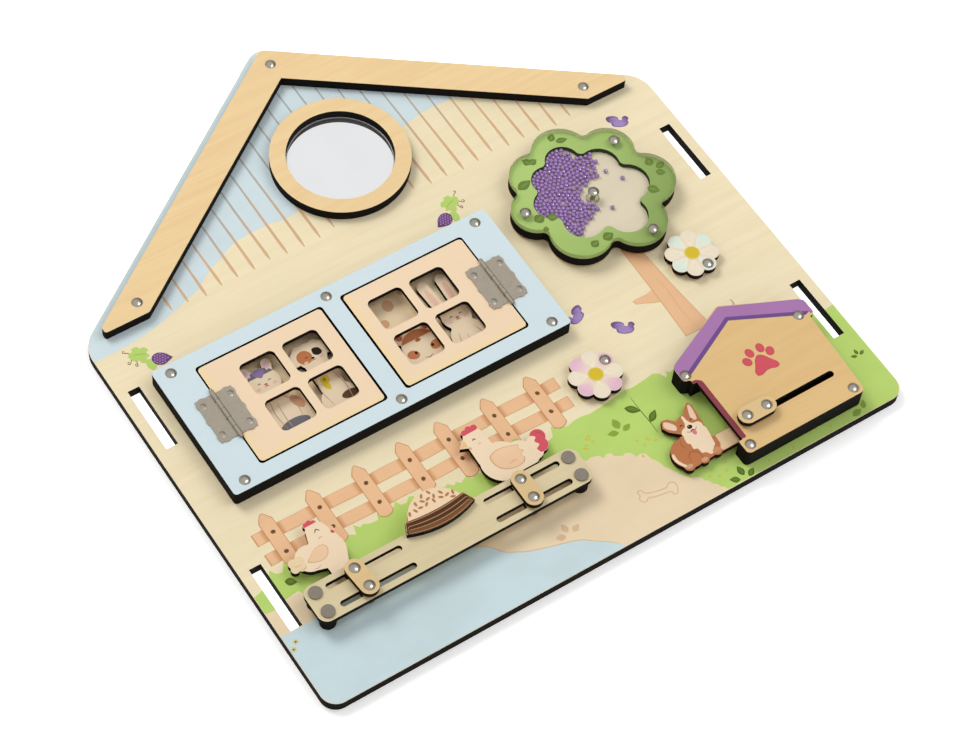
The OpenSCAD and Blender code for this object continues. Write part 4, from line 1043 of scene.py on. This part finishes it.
class BUSYBOARD_OT_flowers(Piece, bpy.types.Operator):
    """Print alternating petals and a yellow middle on both flowers"""
    bl_idname = "busyboard.flowers"
    bl_label = "Flowers"
    petals, distance, radius = 8, 9.8, 14.4 * 0.32

    def execute(self, context):
        sizes, inks = here(context)
        for name, first, ink in (("daisy", 20, inks.mint), ("blossom", 28.3, inks.pink)):
            d = Drawing(middle(name), sizes)
            for k in range(self.petals):
                turn = first + 360 / self.petals * k
                way = bearing(turn)
                lobe = (*self.distance * way, self.radius)
                arc = star((0, 0), [lobe, (0, 0, 9.6)], turn - 21.6, turn + 21.6, 22, 0.25)
                inwards = np.array([-way[1], way[0]]) * sizes.petal_gap / MM / 4
                arc[:11] += inwards
                arc[11:] -= inwards
                tone = inks.petal if k % 2 else ink
                outer = np.clip((np.linalg.norm(arc, axis=1) - 9) / 9, 0, 0.4)
                shade = blend(tone, darker(tone, 0.86), outer)
                foot = blend(tone, inks.petal, 0.75)
                d.plate(np.vstack([arc, 3.0 * way]), np.vstack([shade, foot]))
                d.line([6.2 * way, 9.4 * way], 0.28, 0.1, blend(tone, inks.yolk, 0.4), 1)
            d.plate(oval(0, 0, 4.2, 4.2, 0, 36), blend(inks.petal, inks.yolk, 0.55), 2)
            d.plate(oval(0.1, 0.1, 3.7, 3.7, 0, 36), inks.yolk, 3)
            d.object("printed_" + name, name, "petal_print")
        return {"FINISHED"}


class BUSYBOARD_OT_tree_leaves(Piece, bpy.types.Operator):
    """Print the green ring and dark leaves of the tree, under its clear cover"""
    bl_idname = "busyboard.tree_leaves"
    bl_label = "Tree leaves"
    # Place, length, width and bearing of each leaf
    leaves = ((2.0, 42.1, 4.8, 3.2, 48), (5.7, 38.0, 6.0, 2.8, -12), (-18.2, 35.4, 4.6, 3.4, 120),
              (-15.2, 33.8, 4.6, 3.2, 10), (-27.3, 23.6, 8.2, 4.2, 12), (-32.3, 1.7, 6.0, 4.4, 8),
              (-26.1, -1.1, 5.2, 3.6, -28), (-16.5, -26.1, 4.8, 3.6, 20), (-8.0, -25.7, 6.0, 4.4, 6),
              (37.5, 3.0, 5.0, 3.8, 82), (41.5, -1.8, 5.2, 3.2, 10), (39.0, -5.8, 4.8, 3.2, -40),
              (29.4, -13.0, 6.2, 4.0, -48), (-33.2, -5.6, 3.2, 2.4, 60))

    def execute(self, context):
        sizes, inks = here(context)
        x, y, _ = middle("tree_washer")
        d = Drawing((x, y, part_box("tree_ring")[1].z), sizes)
        outer, inner = lobed(TREE_LOBES, 0.06), lobed(WINDOW_LOBES, -0.06)
        across = np.vstack([outer, inner]) @ (0.8, -0.6)
        shaded = blend(inks.foliage, darker(inks.foliage, 0.7), np.clip((across - 8) / 26, 0, 1))
        lit = darker(inks.foliage, 1.16) - shaded
        d.hoop(outer, inner, shaded + lit * np.clip((-across - 4) / 26, 0, 1)[:, None])
        for u, v, long, wide, turn in self.leaves:
            d.plate(blade(u, v, long * 1.12, wide * 1.3, turn), blend(inks.foliage, inks.leaf, 0.85), 1)
            d.plate(blade(u, v, long * 0.8, wide * 0.3, turn), blend(inks.foliage, inks.leaf, 0.65), 2)
        d.object("printed_tree_leaves", "tree", "green_print")
        return {"FINISHED"}


class BUSYBOARD_OT_beads(Piece, bpy.types.Operator):
    """Pile the loose beads against one side of the tree's window"""
    bl_idname = "busyboard.beads"
    bl_label = "Beads"
    seed, share, steps = 11, 0.86, 400      # random draw, part of the grid kept, rounds of settling
    scatter = 0.4                           # spread of the draw over a bead's size
    room = 0.05                             # millimetres between a bead and the wall or the sleeve
    strays = ((15.1, 11.1), (20.6, 2.5), (5.2, -10.6))
    downhill = np.array([-0.8, 0.6])
    around, rows = 12, 8                    # sides and rows of a bead

    def settle(self, size, sleeve):
        """Middles of the beads: a triangular grid over the pile with some taken out and the rest
        shifted by a seeded draw. Then, again and again, two beads closer than their size each move
        back by half of what is missing, and a bead past the window's wall moves back along the
        line from its nearest point, or out of the sleeve along its radius."""
        wall = lobed(WINDOW_LOBES, 0)
        ways, radii = np.arctan2(wall[:, 1], wall[:, 0]), np.linalg.norm(wall, axis=1)

        def inside(p):
            """How far points lie inside the wall on their own bearing."""
            reach = np.interp(np.arctan2(p[:, 1], p[:, 0]), ways, radii, period=2 * np.pi)
            return reach - np.linalg.norm(p, axis=1)
        rng = np.random.default_rng(self.seed)
        pitch = size * 1.03
        i, j = (v.ravel() for v in np.meshgrid(np.arange(-17, 18), np.arange(-17, 18)))
        p = np.column_stack([(i + j % 2 / 2) * pitch, j * pitch * math.sin(math.pi / 3)])
        along, up = p @ (0.6, 0.8), p @ (-0.8, 0.6)
        edge = 3.2 * np.sin(np.radians(14 * along + 20)) - 2.6
        pile = (inside(p) > size / 2) & (up > edge) & (p[:, 1] > -18)
        p = p[pile & (np.linalg.norm(p, axis=1) > sleeve)]
        p = p[rng.permutation(len(p))[:int(self.share * len(p))]]
        p = np.vstack([p + rng.normal(0, self.scatter * size, p.shape), self.strays])
        n = len(p)
        drift = self.downhill * 0.04 * (np.arange(n) < n - len(self.strays))[:, None]
        for k in range(self.steps):
            p = p + drift * max(0, 1 - 2 * k / self.steps)
            apart = p[:, None] - p[None]
            far = np.linalg.norm(apart, axis=2) + np.eye(n) * 99
            p = p + (apart / far[..., None] * (np.maximum(size * 1.01 - far, 0) / 2)[..., None]).sum(1)
            off = p[:, None] - wall[None]
            away = np.linalg.norm(off, axis=2)
            near = away.argmin(1)
            gap, off = away[np.arange(n), near], off[np.arange(n), near]
            sign = np.where(inside(p) > 0, 1, -1)
            back = sign * np.maximum(size / 2 + self.room - sign * gap, 0)
            p = p + off / gap[:, None] * back[:, None]
            r = np.linalg.norm(p, axis=1)
            p = p + p / r[:, None] * np.maximum(sleeve + size / 2 + self.room - r, 0)[:, None]
        return p

    def ball(self, size):
        """Points, quads and caps of one bead: on each row the sine of its angle from the pole
        times cosine and sine of the angle round, at the cosine as height, and two poles."""
        around, rows = self.around, self.rows
        t = np.linspace(0, 2 * np.pi, around, endpoint=False)
        u = np.linspace(0, np.pi, rows + 1)[1:-1, None]
        skin = np.stack([np.sin(u) * np.cos(t), np.sin(u) * np.sin(t), np.cos(u) + 0 * t], axis=-1)
        points = np.vstack([skin.reshape(-1, 3), [(0, 0, 1), (0, 0, -1)]]) * size / 2
        k = np.arange(around)
        after = (k + 1) % around
        ring = np.column_stack([k, k + around, after + around, after])
        quads = (ring[None] + around * np.arange(rows - 2)[:, None, None]).reshape(-1, 4)
        last = around * (rows - 2)
        caps = np.vstack([np.column_stack([np.full(around, len(points) - 2), k, after]),
                          np.column_stack([np.full(around, len(points) - 1), last + after, last + k])])
        return points, quads, caps

    def execute(self, context):
        low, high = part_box("tree_beads")
        size = high.z - low.z
        sleeve_low, sleeve_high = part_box("tree_hub")
        middles = self.settle(size / MM, (sleeve_high.x - sleeve_low.x) / 2 / MM) * MM
        x, y, _ = middle("tree_washer")
        middles = np.column_stack([middles + (x, y), np.full(len(middles), (low.z + high.z) / 2)])
        points, quads, caps = self.ball(size)
        start = len(points) * np.arange(len(middles))[:, None, None]
        faces = (quads[None] + start).reshape(-1, 4).tolist() + (caps[None] + start).reshape(-1, 3).tolist()
        mesh = bpy.data.meshes.new("bead_pile")
        mesh.from_pydata((middles[:, None] + points[None]).reshape(-1, 3).tolist(), [], faces)
        mesh.update()
        mesh.polygons.foreach_set("use_smooth", np.ones(len(faces), bool))
        purple = plastic("Bead", context.scene.busy_board_inks.bead, *BEAD_FINISH)
        pile = show("bead_pile", mesh, purple, "tree")
        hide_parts("tree_beads")
        return {"FINISHED"}


class BUSYBOARD_OT_kennel(Piece, bpy.types.Operator):
    """Print the kennel's roof, its door post and the paw, and paint shade on the board inside it"""
    bl_idname = "busyboard.kennel"
    bl_label = "Kennel"
    foot, slope = 6.4, 0.4816               # height of the front's foot, and fall of its roof
    post, paw = 76.1, (111.8, 45)           # left of the door post, and middle of the paw
    # Place, half width, half height and bearing of each toe
    toes = ((105.1, 50.4, 2.3, 2.7, 25), (109.1, 54.1, 2.2, 2.8, 8), (115.6, 54.1, 2.2, 2.8, -8),
            (118.9, 50.1, 2.3, 2.7, -25))
    # Corners of a near-black patch on the board inside the kennel: painted shade, seen through its slot
    shade_patch = ((89, 15.8), (142.6, 15.8), (142.6, 53), (89, 53))

    def execute(self, context):
        sizes, inks = here(context)
        low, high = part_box("kennel_front")
        cx, half = (low.x + high.x) / 2 / MM, (high.x - low.x) / 2 / MM - 0.2
        ridge = (high.y - low.y) / MM + self.foot
        d = Drawing(((low.x + high.x) / 2, low.y - self.foot * MM, high.z), sizes)
        deep, shade = sizes.purlin / MM, sizes.purlin_shade / MM
        d.plate([(-half, 57.6), (-half + 1.6, 57.8), (-half + 2.3, 59.4), (0, ridge - deep - 0.2),
                 (half - 2.3, 59.4), (half - 1.6, 57.8), (half, 57.6), (half, 66.2), (half - 2.4, 68.2),
                 (1.6, ridge - 1.1), (0, ridge - 0.5), (-1.6, ridge - 1.1), (-half + 2.4, 68.2),
                 (-half, 66.2)], inks.purple)
        x = np.array([-half + 2.2, -half + 4.5, 0, half - 4.5, half - 2.2])
        top = ridge - deep - self.slope * np.abs(x)
        d.band(x, top - shade * np.array([0.2, 1, 1, 1, 0.2]), top + 0.25, inks.plum, 1)
        left = self.post - cx
        d.plate(rounded([(left + 0.2, 15.3), (left + 3.0, 15.0), (left + 3.1, 53.2), (left + 0.6, 55.2),
                         (left - 2.0, 55.6), (left - 2.0, 53.7), (left + 0.2, 53.6)],
                        (0.3, 1, 2.2, 2, 0.4, 0.3, 0), 6), inks.maroon)
        pad = flow([(0, 6.2), (2.6, 4.7), (4.6, 1.4), (6.6, -1.8), (6.4, -4.1), (4.2, -4.7), (2, -3.9),
                    (0, -3.6), (-2, -3.9), (-4.4, -4.7), (-6.7, -4.0), (-6.8, -1.6), (-4.7, 1.3),
                    (-2.6, 4.5)], 5)
        rim = darker(inks.red, 0.78)
        d.framed(moved(pad, self.paw[0] - cx, self.paw[1]), rim, inks.red, 0, 0.94)
        for u, *toe in self.toes:
            d.framed(oval(u - cx, *toe), rim, inks.red, 0, 0.88)
        d.object("printed_kennel", "board", "honey_wood")
        # Painted shade: the board inside the kennel is printed near black
        d = board_drawing(sizes)
        d.plate(self.shade_patch, darker(inks.nail, 0.12), 2)
        d.object("kennel_floor_painted_shade", "board", "printed_face")
        return {"FINISHED"}


class BUSYBOARD_OT_rooms(Piece, bpy.types.Operator):
    """Print the animals' faces and patches inside the two rooms"""
    bl_idname = "busyboard.rooms"
    bl_label = "Rooms"

    def room(self, sizes, side, under):
        """Drawing over a node, about the middle of one room's floor."""
        x, y, _ = middle("window_frame_top")
        floor = (y / MM - ROOM_DROP) * MM
        return Drawing((x + side * ROOM_SIDE * MM, floor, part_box(under)[1].z), sizes)

    def face(self, d, x, y, inks, wide, nose):
        """Two closed eyes, cheeks, a nose and a short mouth."""
        for eye in (x - wide, x + wide):
            cheek = eye + math.copysign(1.6, eye - x)
            d.line([(eye - 0.8, y + 0.7), (eye, y + 1.3), (eye + 0.8, y + 0.7)], 0.4, 0.4, inks.ink, 2)
            d.plate(oval(cheek, y - 1.6, 1.2, 0.8, 0, 12), blend(inks.cream, inks.red, 0.3), 2)
        d.plate(oval(x, y - 0.6, 0.9, 0.6, 0, 12), nose, 2)
        d.line([(x - 1.3, y - 2.0), (x, y - 1.6), (x + 1.3, y - 2.0)], 0.35, 0.3, inks.nail, 2)

    def folds(self, d, inks, x, *curves):
        """Lines of a body, each from an animal's middle."""
        for curve in curves:
            p = [(x + u, v) for u, v in curve]
            d.line(p, 0.45, 0.25, blend(inks.cream, inks.nail, 0.6), 1)

    def cat_and_puppy(self, sizes, inks):
        """Grey-capped cat at the left, puppy with a collar at the right."""
        d = self.room(sizes, -1, "left_room_animals")
        cat, dog = -9.0, 19.0
        d.plate(star((cat, 42), [(cat, 39.5, 8.5)], 12, 168, 30), inks.grey)
        for s in (-1, 1):
            d.plate(oval(cat + s * 5.6, 47.4, 1.1, 2.4, -18 * s, 14), inks.pink, 1)
        d.plate(flow([(cat - 3.4, 47), (cat, 42.2), (cat + 3.4, 47)], 5), blend(inks.wing, inks.grey, 0.4), 1)
        self.face(d, cat, 38.6, inks, 3.0, inks.red)
        self.folds(d, inks, cat, [(3.5, 29), (7, 22), (6.4, 12)], [(-3.5, 29), (-5, 20), (-4, 10)],
                   [(-1, 26), (-1.6, 16), (-1, 8)])
        d.plate(oval(cat + 8.2, 21.6, 2.4, 4.6, 20), blend(inks.cream, inks.ginger, 0.75))
        d.plate(oval(cat + 1, 10.6, 8.0, 3.6, 0), inks.grey)
        d.plate(star((dog - 4.4, 42.0), [(dog - 3.6, 41.6, 4.2)], 0, 360, 30), inks.ginger)
        d.plate(flow([(dog + 2.2, 44.4), (dog + 5.4, 43.6), (dog + 6.0, 40.6), (dog + 3.6, 39.6),
                      (dog + 1.4, 41.2)], 5), inks.ink)
        self.face(d, dog, 40.0, inks, 2.8, inks.ink)
        self.folds(d, inks, dog, [(-5, 30), (-6.6, 20), (-5, 10)], [(4, 30), (6, 18), (5, 8)])
        d.plate(oval(dog - 1.5, 25.4, 2.6, 2.2, 0), inks.yolk, 1)
        d.plate(oval(dog - 2.4, 22.0, 1.5, 3.0, 10), inks.yolk, 1)
        d.plate(oval(dog - 1.8, 25.6, 1.0, 0.9, 0), blend(inks.yolk, inks.nail, 0.6), 2)
        d.plate(oval(dog + 5.2, 12.2, 4.6, 2.4, 0), blend(inks.nail, inks.ink, 0.4))
        d.object("printed_left_room", "board", "print_wood")

    def pig_and_rabbit(self, sizes, inks):
        """Guinea pig with ginger patches at the left, rabbit at the right."""
        d = self.room(sizes, 1, "right_room_animals")
        pig, hare = -14.0, 10.5
        d.plate(star((pig, 19), [(pig, 17.5, 10.5)], 22, 158, 30), inks.ginger)
        for s in (-1, 1):
            d.plate(oval(pig + s * 6.6, 15.0, 3.2, 2.6, 20 * s), inks.ginger, 1)
            d.plate(oval(pig + s * 4.9, 15.4, 0.8, 0.9, 0, 12), inks.ink, 2)
            d.plate(oval(pig + s * 7.9, 27.2, 1.7, 2.0, -30 * s, 16), blend(inks.ginger, inks.red, 0.4), 1)
        d.plate(oval(pig, 21.6, 1.5, 1.0, 0, 14), blend(inks.ginger, inks.nail, 0.5), 2)
        d.line([(pig - 2.2, 10.8), (pig, 10.0), (pig + 2.2, 10.8)], 0.4, 0.3, inks.nail, 2)
        for s in (-1, 1):
            d.plate(oval(hare + s * 4.9, 38, 1.5, 7.2, -3 * s, 24), blend(inks.cream, inks.red, 0.32))
        self.face(d, hare, 23.6, inks, 2.8, inks.red)
        self.folds(d, inks, hare, [(-4.4, 15), (-6, 9), (-5, 3)], [(4.4, 15), (6.4, 9), (5, 3)],
                   [(-1, 12), (-1.6, 7), (-1, 2)])
        d.object("printed_right_room", "board", "print_wood")

    def backs(self, sizes, inks):
        """Back walls of both rooms, printed a darker tan than the bare birch as painted shade, and three
        spots on the right one.
        """
        d = self.room(sizes, 1, "front_panel")
        for row in ((-15, 48.4, 3.0, 3.6, -10), (-22.4, 39.6, 2.8, 2.6, 30), (-5.2, 52.0, 1.6, 1.6, 0)):
            d.plate(oval(*row), blend(inks.birch, inks.ginger, 0.7), 1)
        # Painted shade: both rooms' back walls, a darker tan in the recesses under the doors
        half, low, high = 34.6, -1.2, 58.6
        for mid in (-2 * ROOM_SIDE, 0):
            corners = [(mid - half, low), (mid + half, low), (mid + half, high), (mid - half, high)]
            d.plate(rounded(corners, [2] * 4, 6), blend(inks.birch, inks.tan, 0.32))
        d.object("room_backs_shade_and_spots", "board", "printed_face")

    def execute(self, context):
        for draw in (self.cat_and_puppy, self.pig_and_rabbit, self.backs):
            draw(*here(context))
        return {"FINISHED"}


# --- Wood, paint, metal and plastic of the CAD pieces ---

class BUSYBOARD_OT_wood(Piece, bpy.types.Operator):
    """Dress the plywood pieces, printed and bare"""
    bl_idname = "busyboard.wood"
    bl_label = "Plywood"

    def bare(self, inks):
        """Woods that show their own grain."""
        burnt = inks.burnt
        dress(["back_panel", "front_panel"],
              wood("Printed birch", inks.birch, burnt, 90, 0.5, blend(inks.birch, inks.tan, 0.3)))
        dress(["roof_trim_lower", "roof_trim_upper", "mirror_ring_lower", "mirror_ring_upper"],
              wood("Golden birch", inks.golden, burnt, 30, 0.7, blend(inks.golden, inks.bark, 0.28),
                   0.55, 1.3))
        dress(["rail_plate"], wood("Rail birch", inks.plain, burnt, 3))
        dress(["left_hen_handle", "right_hen_handle", "dog_handle"],
              wood("Handle birch", darker(blend(inks.honey, inks.golden, 0.5), 0.92), burnt, 80, 0.6))
        dress(["kennel_spacer_lower", "kennel_spacer_middle", "kennel_spacer_upper", "kennel_front",
               "rail_posts"],
              wood("Honey wood", inks.honey, burnt, 88, 0.6, blend(inks.honey, inks.bark, 0.22)))
        dress(["tree_back"], wood("Tree floor", linear(236, 223, 198), burnt, 85, 0.4))
        # The ledge's top, seen only in the gaps round the doors, is painted near black as shade
        dress(["window_frame_middle"], wood("Ledge in painted shade", darker(inks.nail, 0.3), burnt, 3))

    def coloured(self, inks):
        """Woods under one flat print or paint."""
        for name, nodes, paint, wash in (
                ("Pale blue paint", ["window_frame_lower", "window_frame_top"], inks.sky, 0.1),
                ("Animal print", ["left_room_animals", "right_room_animals"], darker(inks.cream, 0.93), 0.15),
                ("Hen print", ["left_hen", "right_hen"], inks.cream, 0.1),
                ("Dog print", ["dog"], inks.ginger, 0.25),
                ("Grain print", ["trough"], blend(inks.cream, inks.peach, 0.25), 0.2),
                ("Petal print", ["daisy", "blossom"], blend(inks.petal, inks.tan, 0.22), 0.2),
                ("Tree print", ["tree_ring"], darker(inks.foliage, 0.9), 0.1)):
            dress(nodes, painted(name, paint, inks.burnt, wash))

    def doors(self, inks, wide):
        """Doors, each with its own border."""
        for side in ("left", "right"):
            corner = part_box(side + "_door")[0]

            def border(s, top):
                """Yellower within the border's width of the door's left and lower edge."""
                gap = s.math("MINIMUM", *(s.math("SUBTRACT", s.axis("Object", k), corner[k]) for k in (0, 1)))
                return s.mix(s.span(gap, wide * 0.5, wide * 1.6, 0.55, 0), top, linear(244, 219, 164))
            dress([side + "_door"], painted("Door print " + side, inks.door, inks.burnt, 0.1, border))

    def execute(self, context):
        sizes, inks = here(context)
        self.bare(inks)
        self.coloured(inks)
        self.doors(inks, sizes.border)
        return {"FINISHED"}


class BUSYBOARD_OT_metal(Piece, bpy.types.Operator):
    """Dress rivets, pins, nails and hinges in steel, and the mirror in silvered sheet"""
    bl_idname = "busyboard.metal"
    bl_label = "Metal and mirror"

    def execute(self, context):
        inks = context.scene.busy_board_inks
        dress(["roof_rivets", "window_frame_rivets", "left_hen_rivets", "right_hen_rivets", "kennel_rivets",
               "dog_rivets", "tree_rivets", "tree_pivot", "flower_rivets", "frame_hinge_nails",
               "left_door_nails", "right_door_nails"], metal("Rivet steel", inks.steel, 0.3, (1.2, 1.2, 1.2)))
        dress(["rail_pins"], metal("Pin steel", darker(inks.leaf_steel, 0.62), 0.5, (0.9, 0.9, 0.9), 0, 0.8))
        dress(["left_hinge_frame_leaf", "right_hinge_frame_leaf", "left_hinge_door_leaf",
               "right_hinge_door_leaf", "hinge_pins"],
              metal("Hinge steel", inks.leaf_steel, 0.42, (0.5, 3.0, 1.0), 90, 0.8))
        dress(["mirror_disc"], mirror_glass())
        return {"FINISHED"}


class BUSYBOARD_OT_plastic(Piece, bpy.types.Operator):
    """Dress washers, sleeve, beads and the clear cover"""
    bl_idname = "busyboard.plastic"
    bl_label = "Plastic"

    def execute(self, context):
        inks = context.scene.busy_board_inks
        dress(["left_hen_washers", "right_hen_washers", "dog_washers", "tree_washer", "flower_washers"],
              plastic("Nylon", linear(226, 222, 212), 0.45))
        dress(["tree_hub"], plastic("Sleeve", linear(214, 204, 184), 0.2, faces=0.08, sides=0.16))
        dress(["tree_beads"], plastic("Bead layer", inks.bead, *BEAD_FINISH))
        cover = plastic("Clear cover", darker(inks.foliage, 0.8), 0.12, 0.9, faces=0.03, sides=0.72)
        dress(["tree_cover"], cover)
        return {"FINISHED"}


# --- Studio ---

class BUSYBOARD_OT_stage(Piece, bpy.types.Operator):
    """Set up the floor, the soft lights and the camera"""
    bl_idname = "busyboard.stage"
    bl_label = "Studio"
    floor_half, floor_cells, floor_height = 4, 8, -0.0002
    # Name, place in metres, width, watts, tint, and whether only its reflection shows
    lamps = (("key", (-0.35, 1.1, 1.5), 0.9, 16, (1, 0.99, 0.97), False),
             ("fill", (0.9, -0.4, 1.6), 1.2, 7, (1, 1, 1), False),
             ("spark", (0.35, -1.0, 1.25), 0.34, 22, (1, 1, 1), True))
    # Reflected wall: dim below, bright above, and tilted towards negative X
    wall_tilt, wall_end, wall_dim = -0.35, 0.62, 0.25
    daylight = 0.5                          # world's strength on the board itself
    # Camera: focal length over the sensor's width, place in metres, and right, up and back directions
    lens = 2901.6 / 980
    eye = (-0.4982, -0.6754, 1.2240)
    directions = ((0.8349, -0.5468, 0.0619), (0.4318, 0.7208, 0.5422), (-0.3411, -0.4260, 0.8380))

    def floor(self, paper):
        """Square grid a little below the board."""
        side = self.floor_cells + 1
        across = np.linspace(-self.floor_half, self.floor_half, side)
        x, y = np.meshgrid(across, across)
        grid = np.column_stack([x.ravel(), y.ravel(), np.full(side * side, self.floor_height)])
        cell = np.arange(self.floor_cells)
        k = (cell[:, None] * side + cell[None, :]).ravel()
        mesh = bpy.data.meshes.new("studio_floor")
        mesh.from_pydata(grid.tolist(), [], np.column_stack([k, k + 1, k + 1 + side, k + side]).tolist())
        mesh.materials.append(paper)
        return bpy.data.objects.new("studio_floor", mesh)

    def world(self):
        """White to the camera, a wall that fades downwards to reflections, and dimmer daylight to
        the rest."""
        world = bpy.data.worlds.new("Studio")
        world.use_nodes = True
        s = Nodes(world.node_tree)
        path = s.node("LightPath")
        seen = s.math("MAXIMUM", path["Is Camera Ray"], path["Is Glossy Ray"])
        ray = s.node("SeparateXYZ", {0: s.node("TexCoord")["Generated"]})
        wall = s.span(s.math("MULTIPLY_ADD", ray[0], self.wall_tilt, ray[2]), 0, self.wall_end, self.wall_dim)
        bright = s.math("MAXIMUM", path["Is Camera Ray"], wall)
        back = world.node_tree.nodes["Background"].inputs
        s.plug(back["Color"], (1, 1, 1))
        s.plug(back["Strength"], s.span(seen, 0, 1, self.daylight, bright, False))
        return world

    def lamp(self, name, at, width, power, tint, shine):
        """Round lamp that faces the board's middle, either for reflections or for the rest."""
        data = bpy.data.lights.new(name, "AREA")
        data.shape, data.size, data.energy, data.color = "DISK", width, power, tint
        obj = bpy.data.objects.new(name, data)
        obj.visible_glossy, obj.visible_diffuse = shine, not shine
        turn = Vector(at).to_track_quat("Z", "Y").to_matrix().to_4x4()
        obj.matrix_world = Matrix.Translation(at) @ turn
        return obj

    def camera(self):
        """Camera from its lens, place and directions."""
        data = bpy.data.cameras.new("camera")
        data.sensor_fit, data.sensor_width = "HORIZONTAL", 36
        data.lens = self.lens * data.sensor_width
        data.clip_start, data.clip_end = 0.3, 20
        obj = bpy.data.objects.new("camera", data)
        turn = Matrix(self.directions).transposed().to_4x4()
        obj.matrix_world = Matrix.Translation(self.eye) @ turn
        return obj

    def execute(self, context):
        scene = context.scene
        scene.world = self.world()
        floor, camera = self.floor(studio_paper(scene.busy_board_inks.floor)), self.camera()
        stage = [floor, camera] + [self.lamp(*row) for row in self.lamps]
        for obj in stage:
            scene.collection.objects.link(obj)
        scene.camera = camera
        scene.view_settings.view_transform = "Standard"
        return {"FINISHED"}


# --- Add-on ---

OPERATORS = (BUSYBOARD_OT_wood, BUSYBOARD_OT_metal, BUSYBOARD_OT_plastic, BUSYBOARD_OT_landscape,
             BUSYBOARD_OT_siding, BUSYBOARD_OT_fence, BUSYBOARD_OT_garden, BUSYBOARD_OT_hens,
             BUSYBOARD_OT_trough, BUSYBOARD_OT_dog, BUSYBOARD_OT_flowers, BUSYBOARD_OT_tree_leaves,
             BUSYBOARD_OT_beads, BUSYBOARD_OT_kennel, BUSYBOARD_OT_rooms, BUSYBOARD_OT_stage)


class BUSYBOARD_PT_panel(bpy.types.Panel):
    """Sizes, colours and the operators that build the board's looks"""
    bl_idname = "BUSYBOARD_PT_panel"
    bl_label = "Busy Board"
    bl_space_type = "VIEW_3D"
    bl_region_type = "UI"
    bl_category = "Busy Board"

    def draw(self, context):
        for group in here(context):
            column = self.layout.column(align=True)
            for key in group.bl_rna.properties.keys():
                if key not in ("rna_type", "name"):
                    column.prop(group, key)
        column = self.layout.column(align=True)
        for operator in OPERATORS:
            column.operator(operator.bl_idname)


CLASSES = (BusyBoardSizes, BusyBoardInks) + OPERATORS + (BUSYBOARD_PT_panel,)


def register():
    """Registers the classes, and gives the scene its sizes and colours."""
    for cls in CLASSES:
        bpy.utils.register_class(cls)
    bpy.types.Scene.busy_board_sizes = PointerProperty(type=BusyBoardSizes)
    bpy.types.Scene.busy_board_inks = PointerProperty(type=BusyBoardInks)


def unregister():
    """Takes back what register did."""
    del bpy.types.Scene.busy_board_sizes, bpy.types.Scene.busy_board_inks
    for cls in reversed(CLASSES):
        bpy.utils.unregister_class(cls)


def main():
    """Registers the add-on, then builds everything by running each operator."""
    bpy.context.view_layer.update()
    register()
    for operator in OPERATORS:
        group, name = operator.bl_idname.split(".")
        getattr(getattr(bpy.ops, group), name)()


if __name__ == "__main__":
    main()
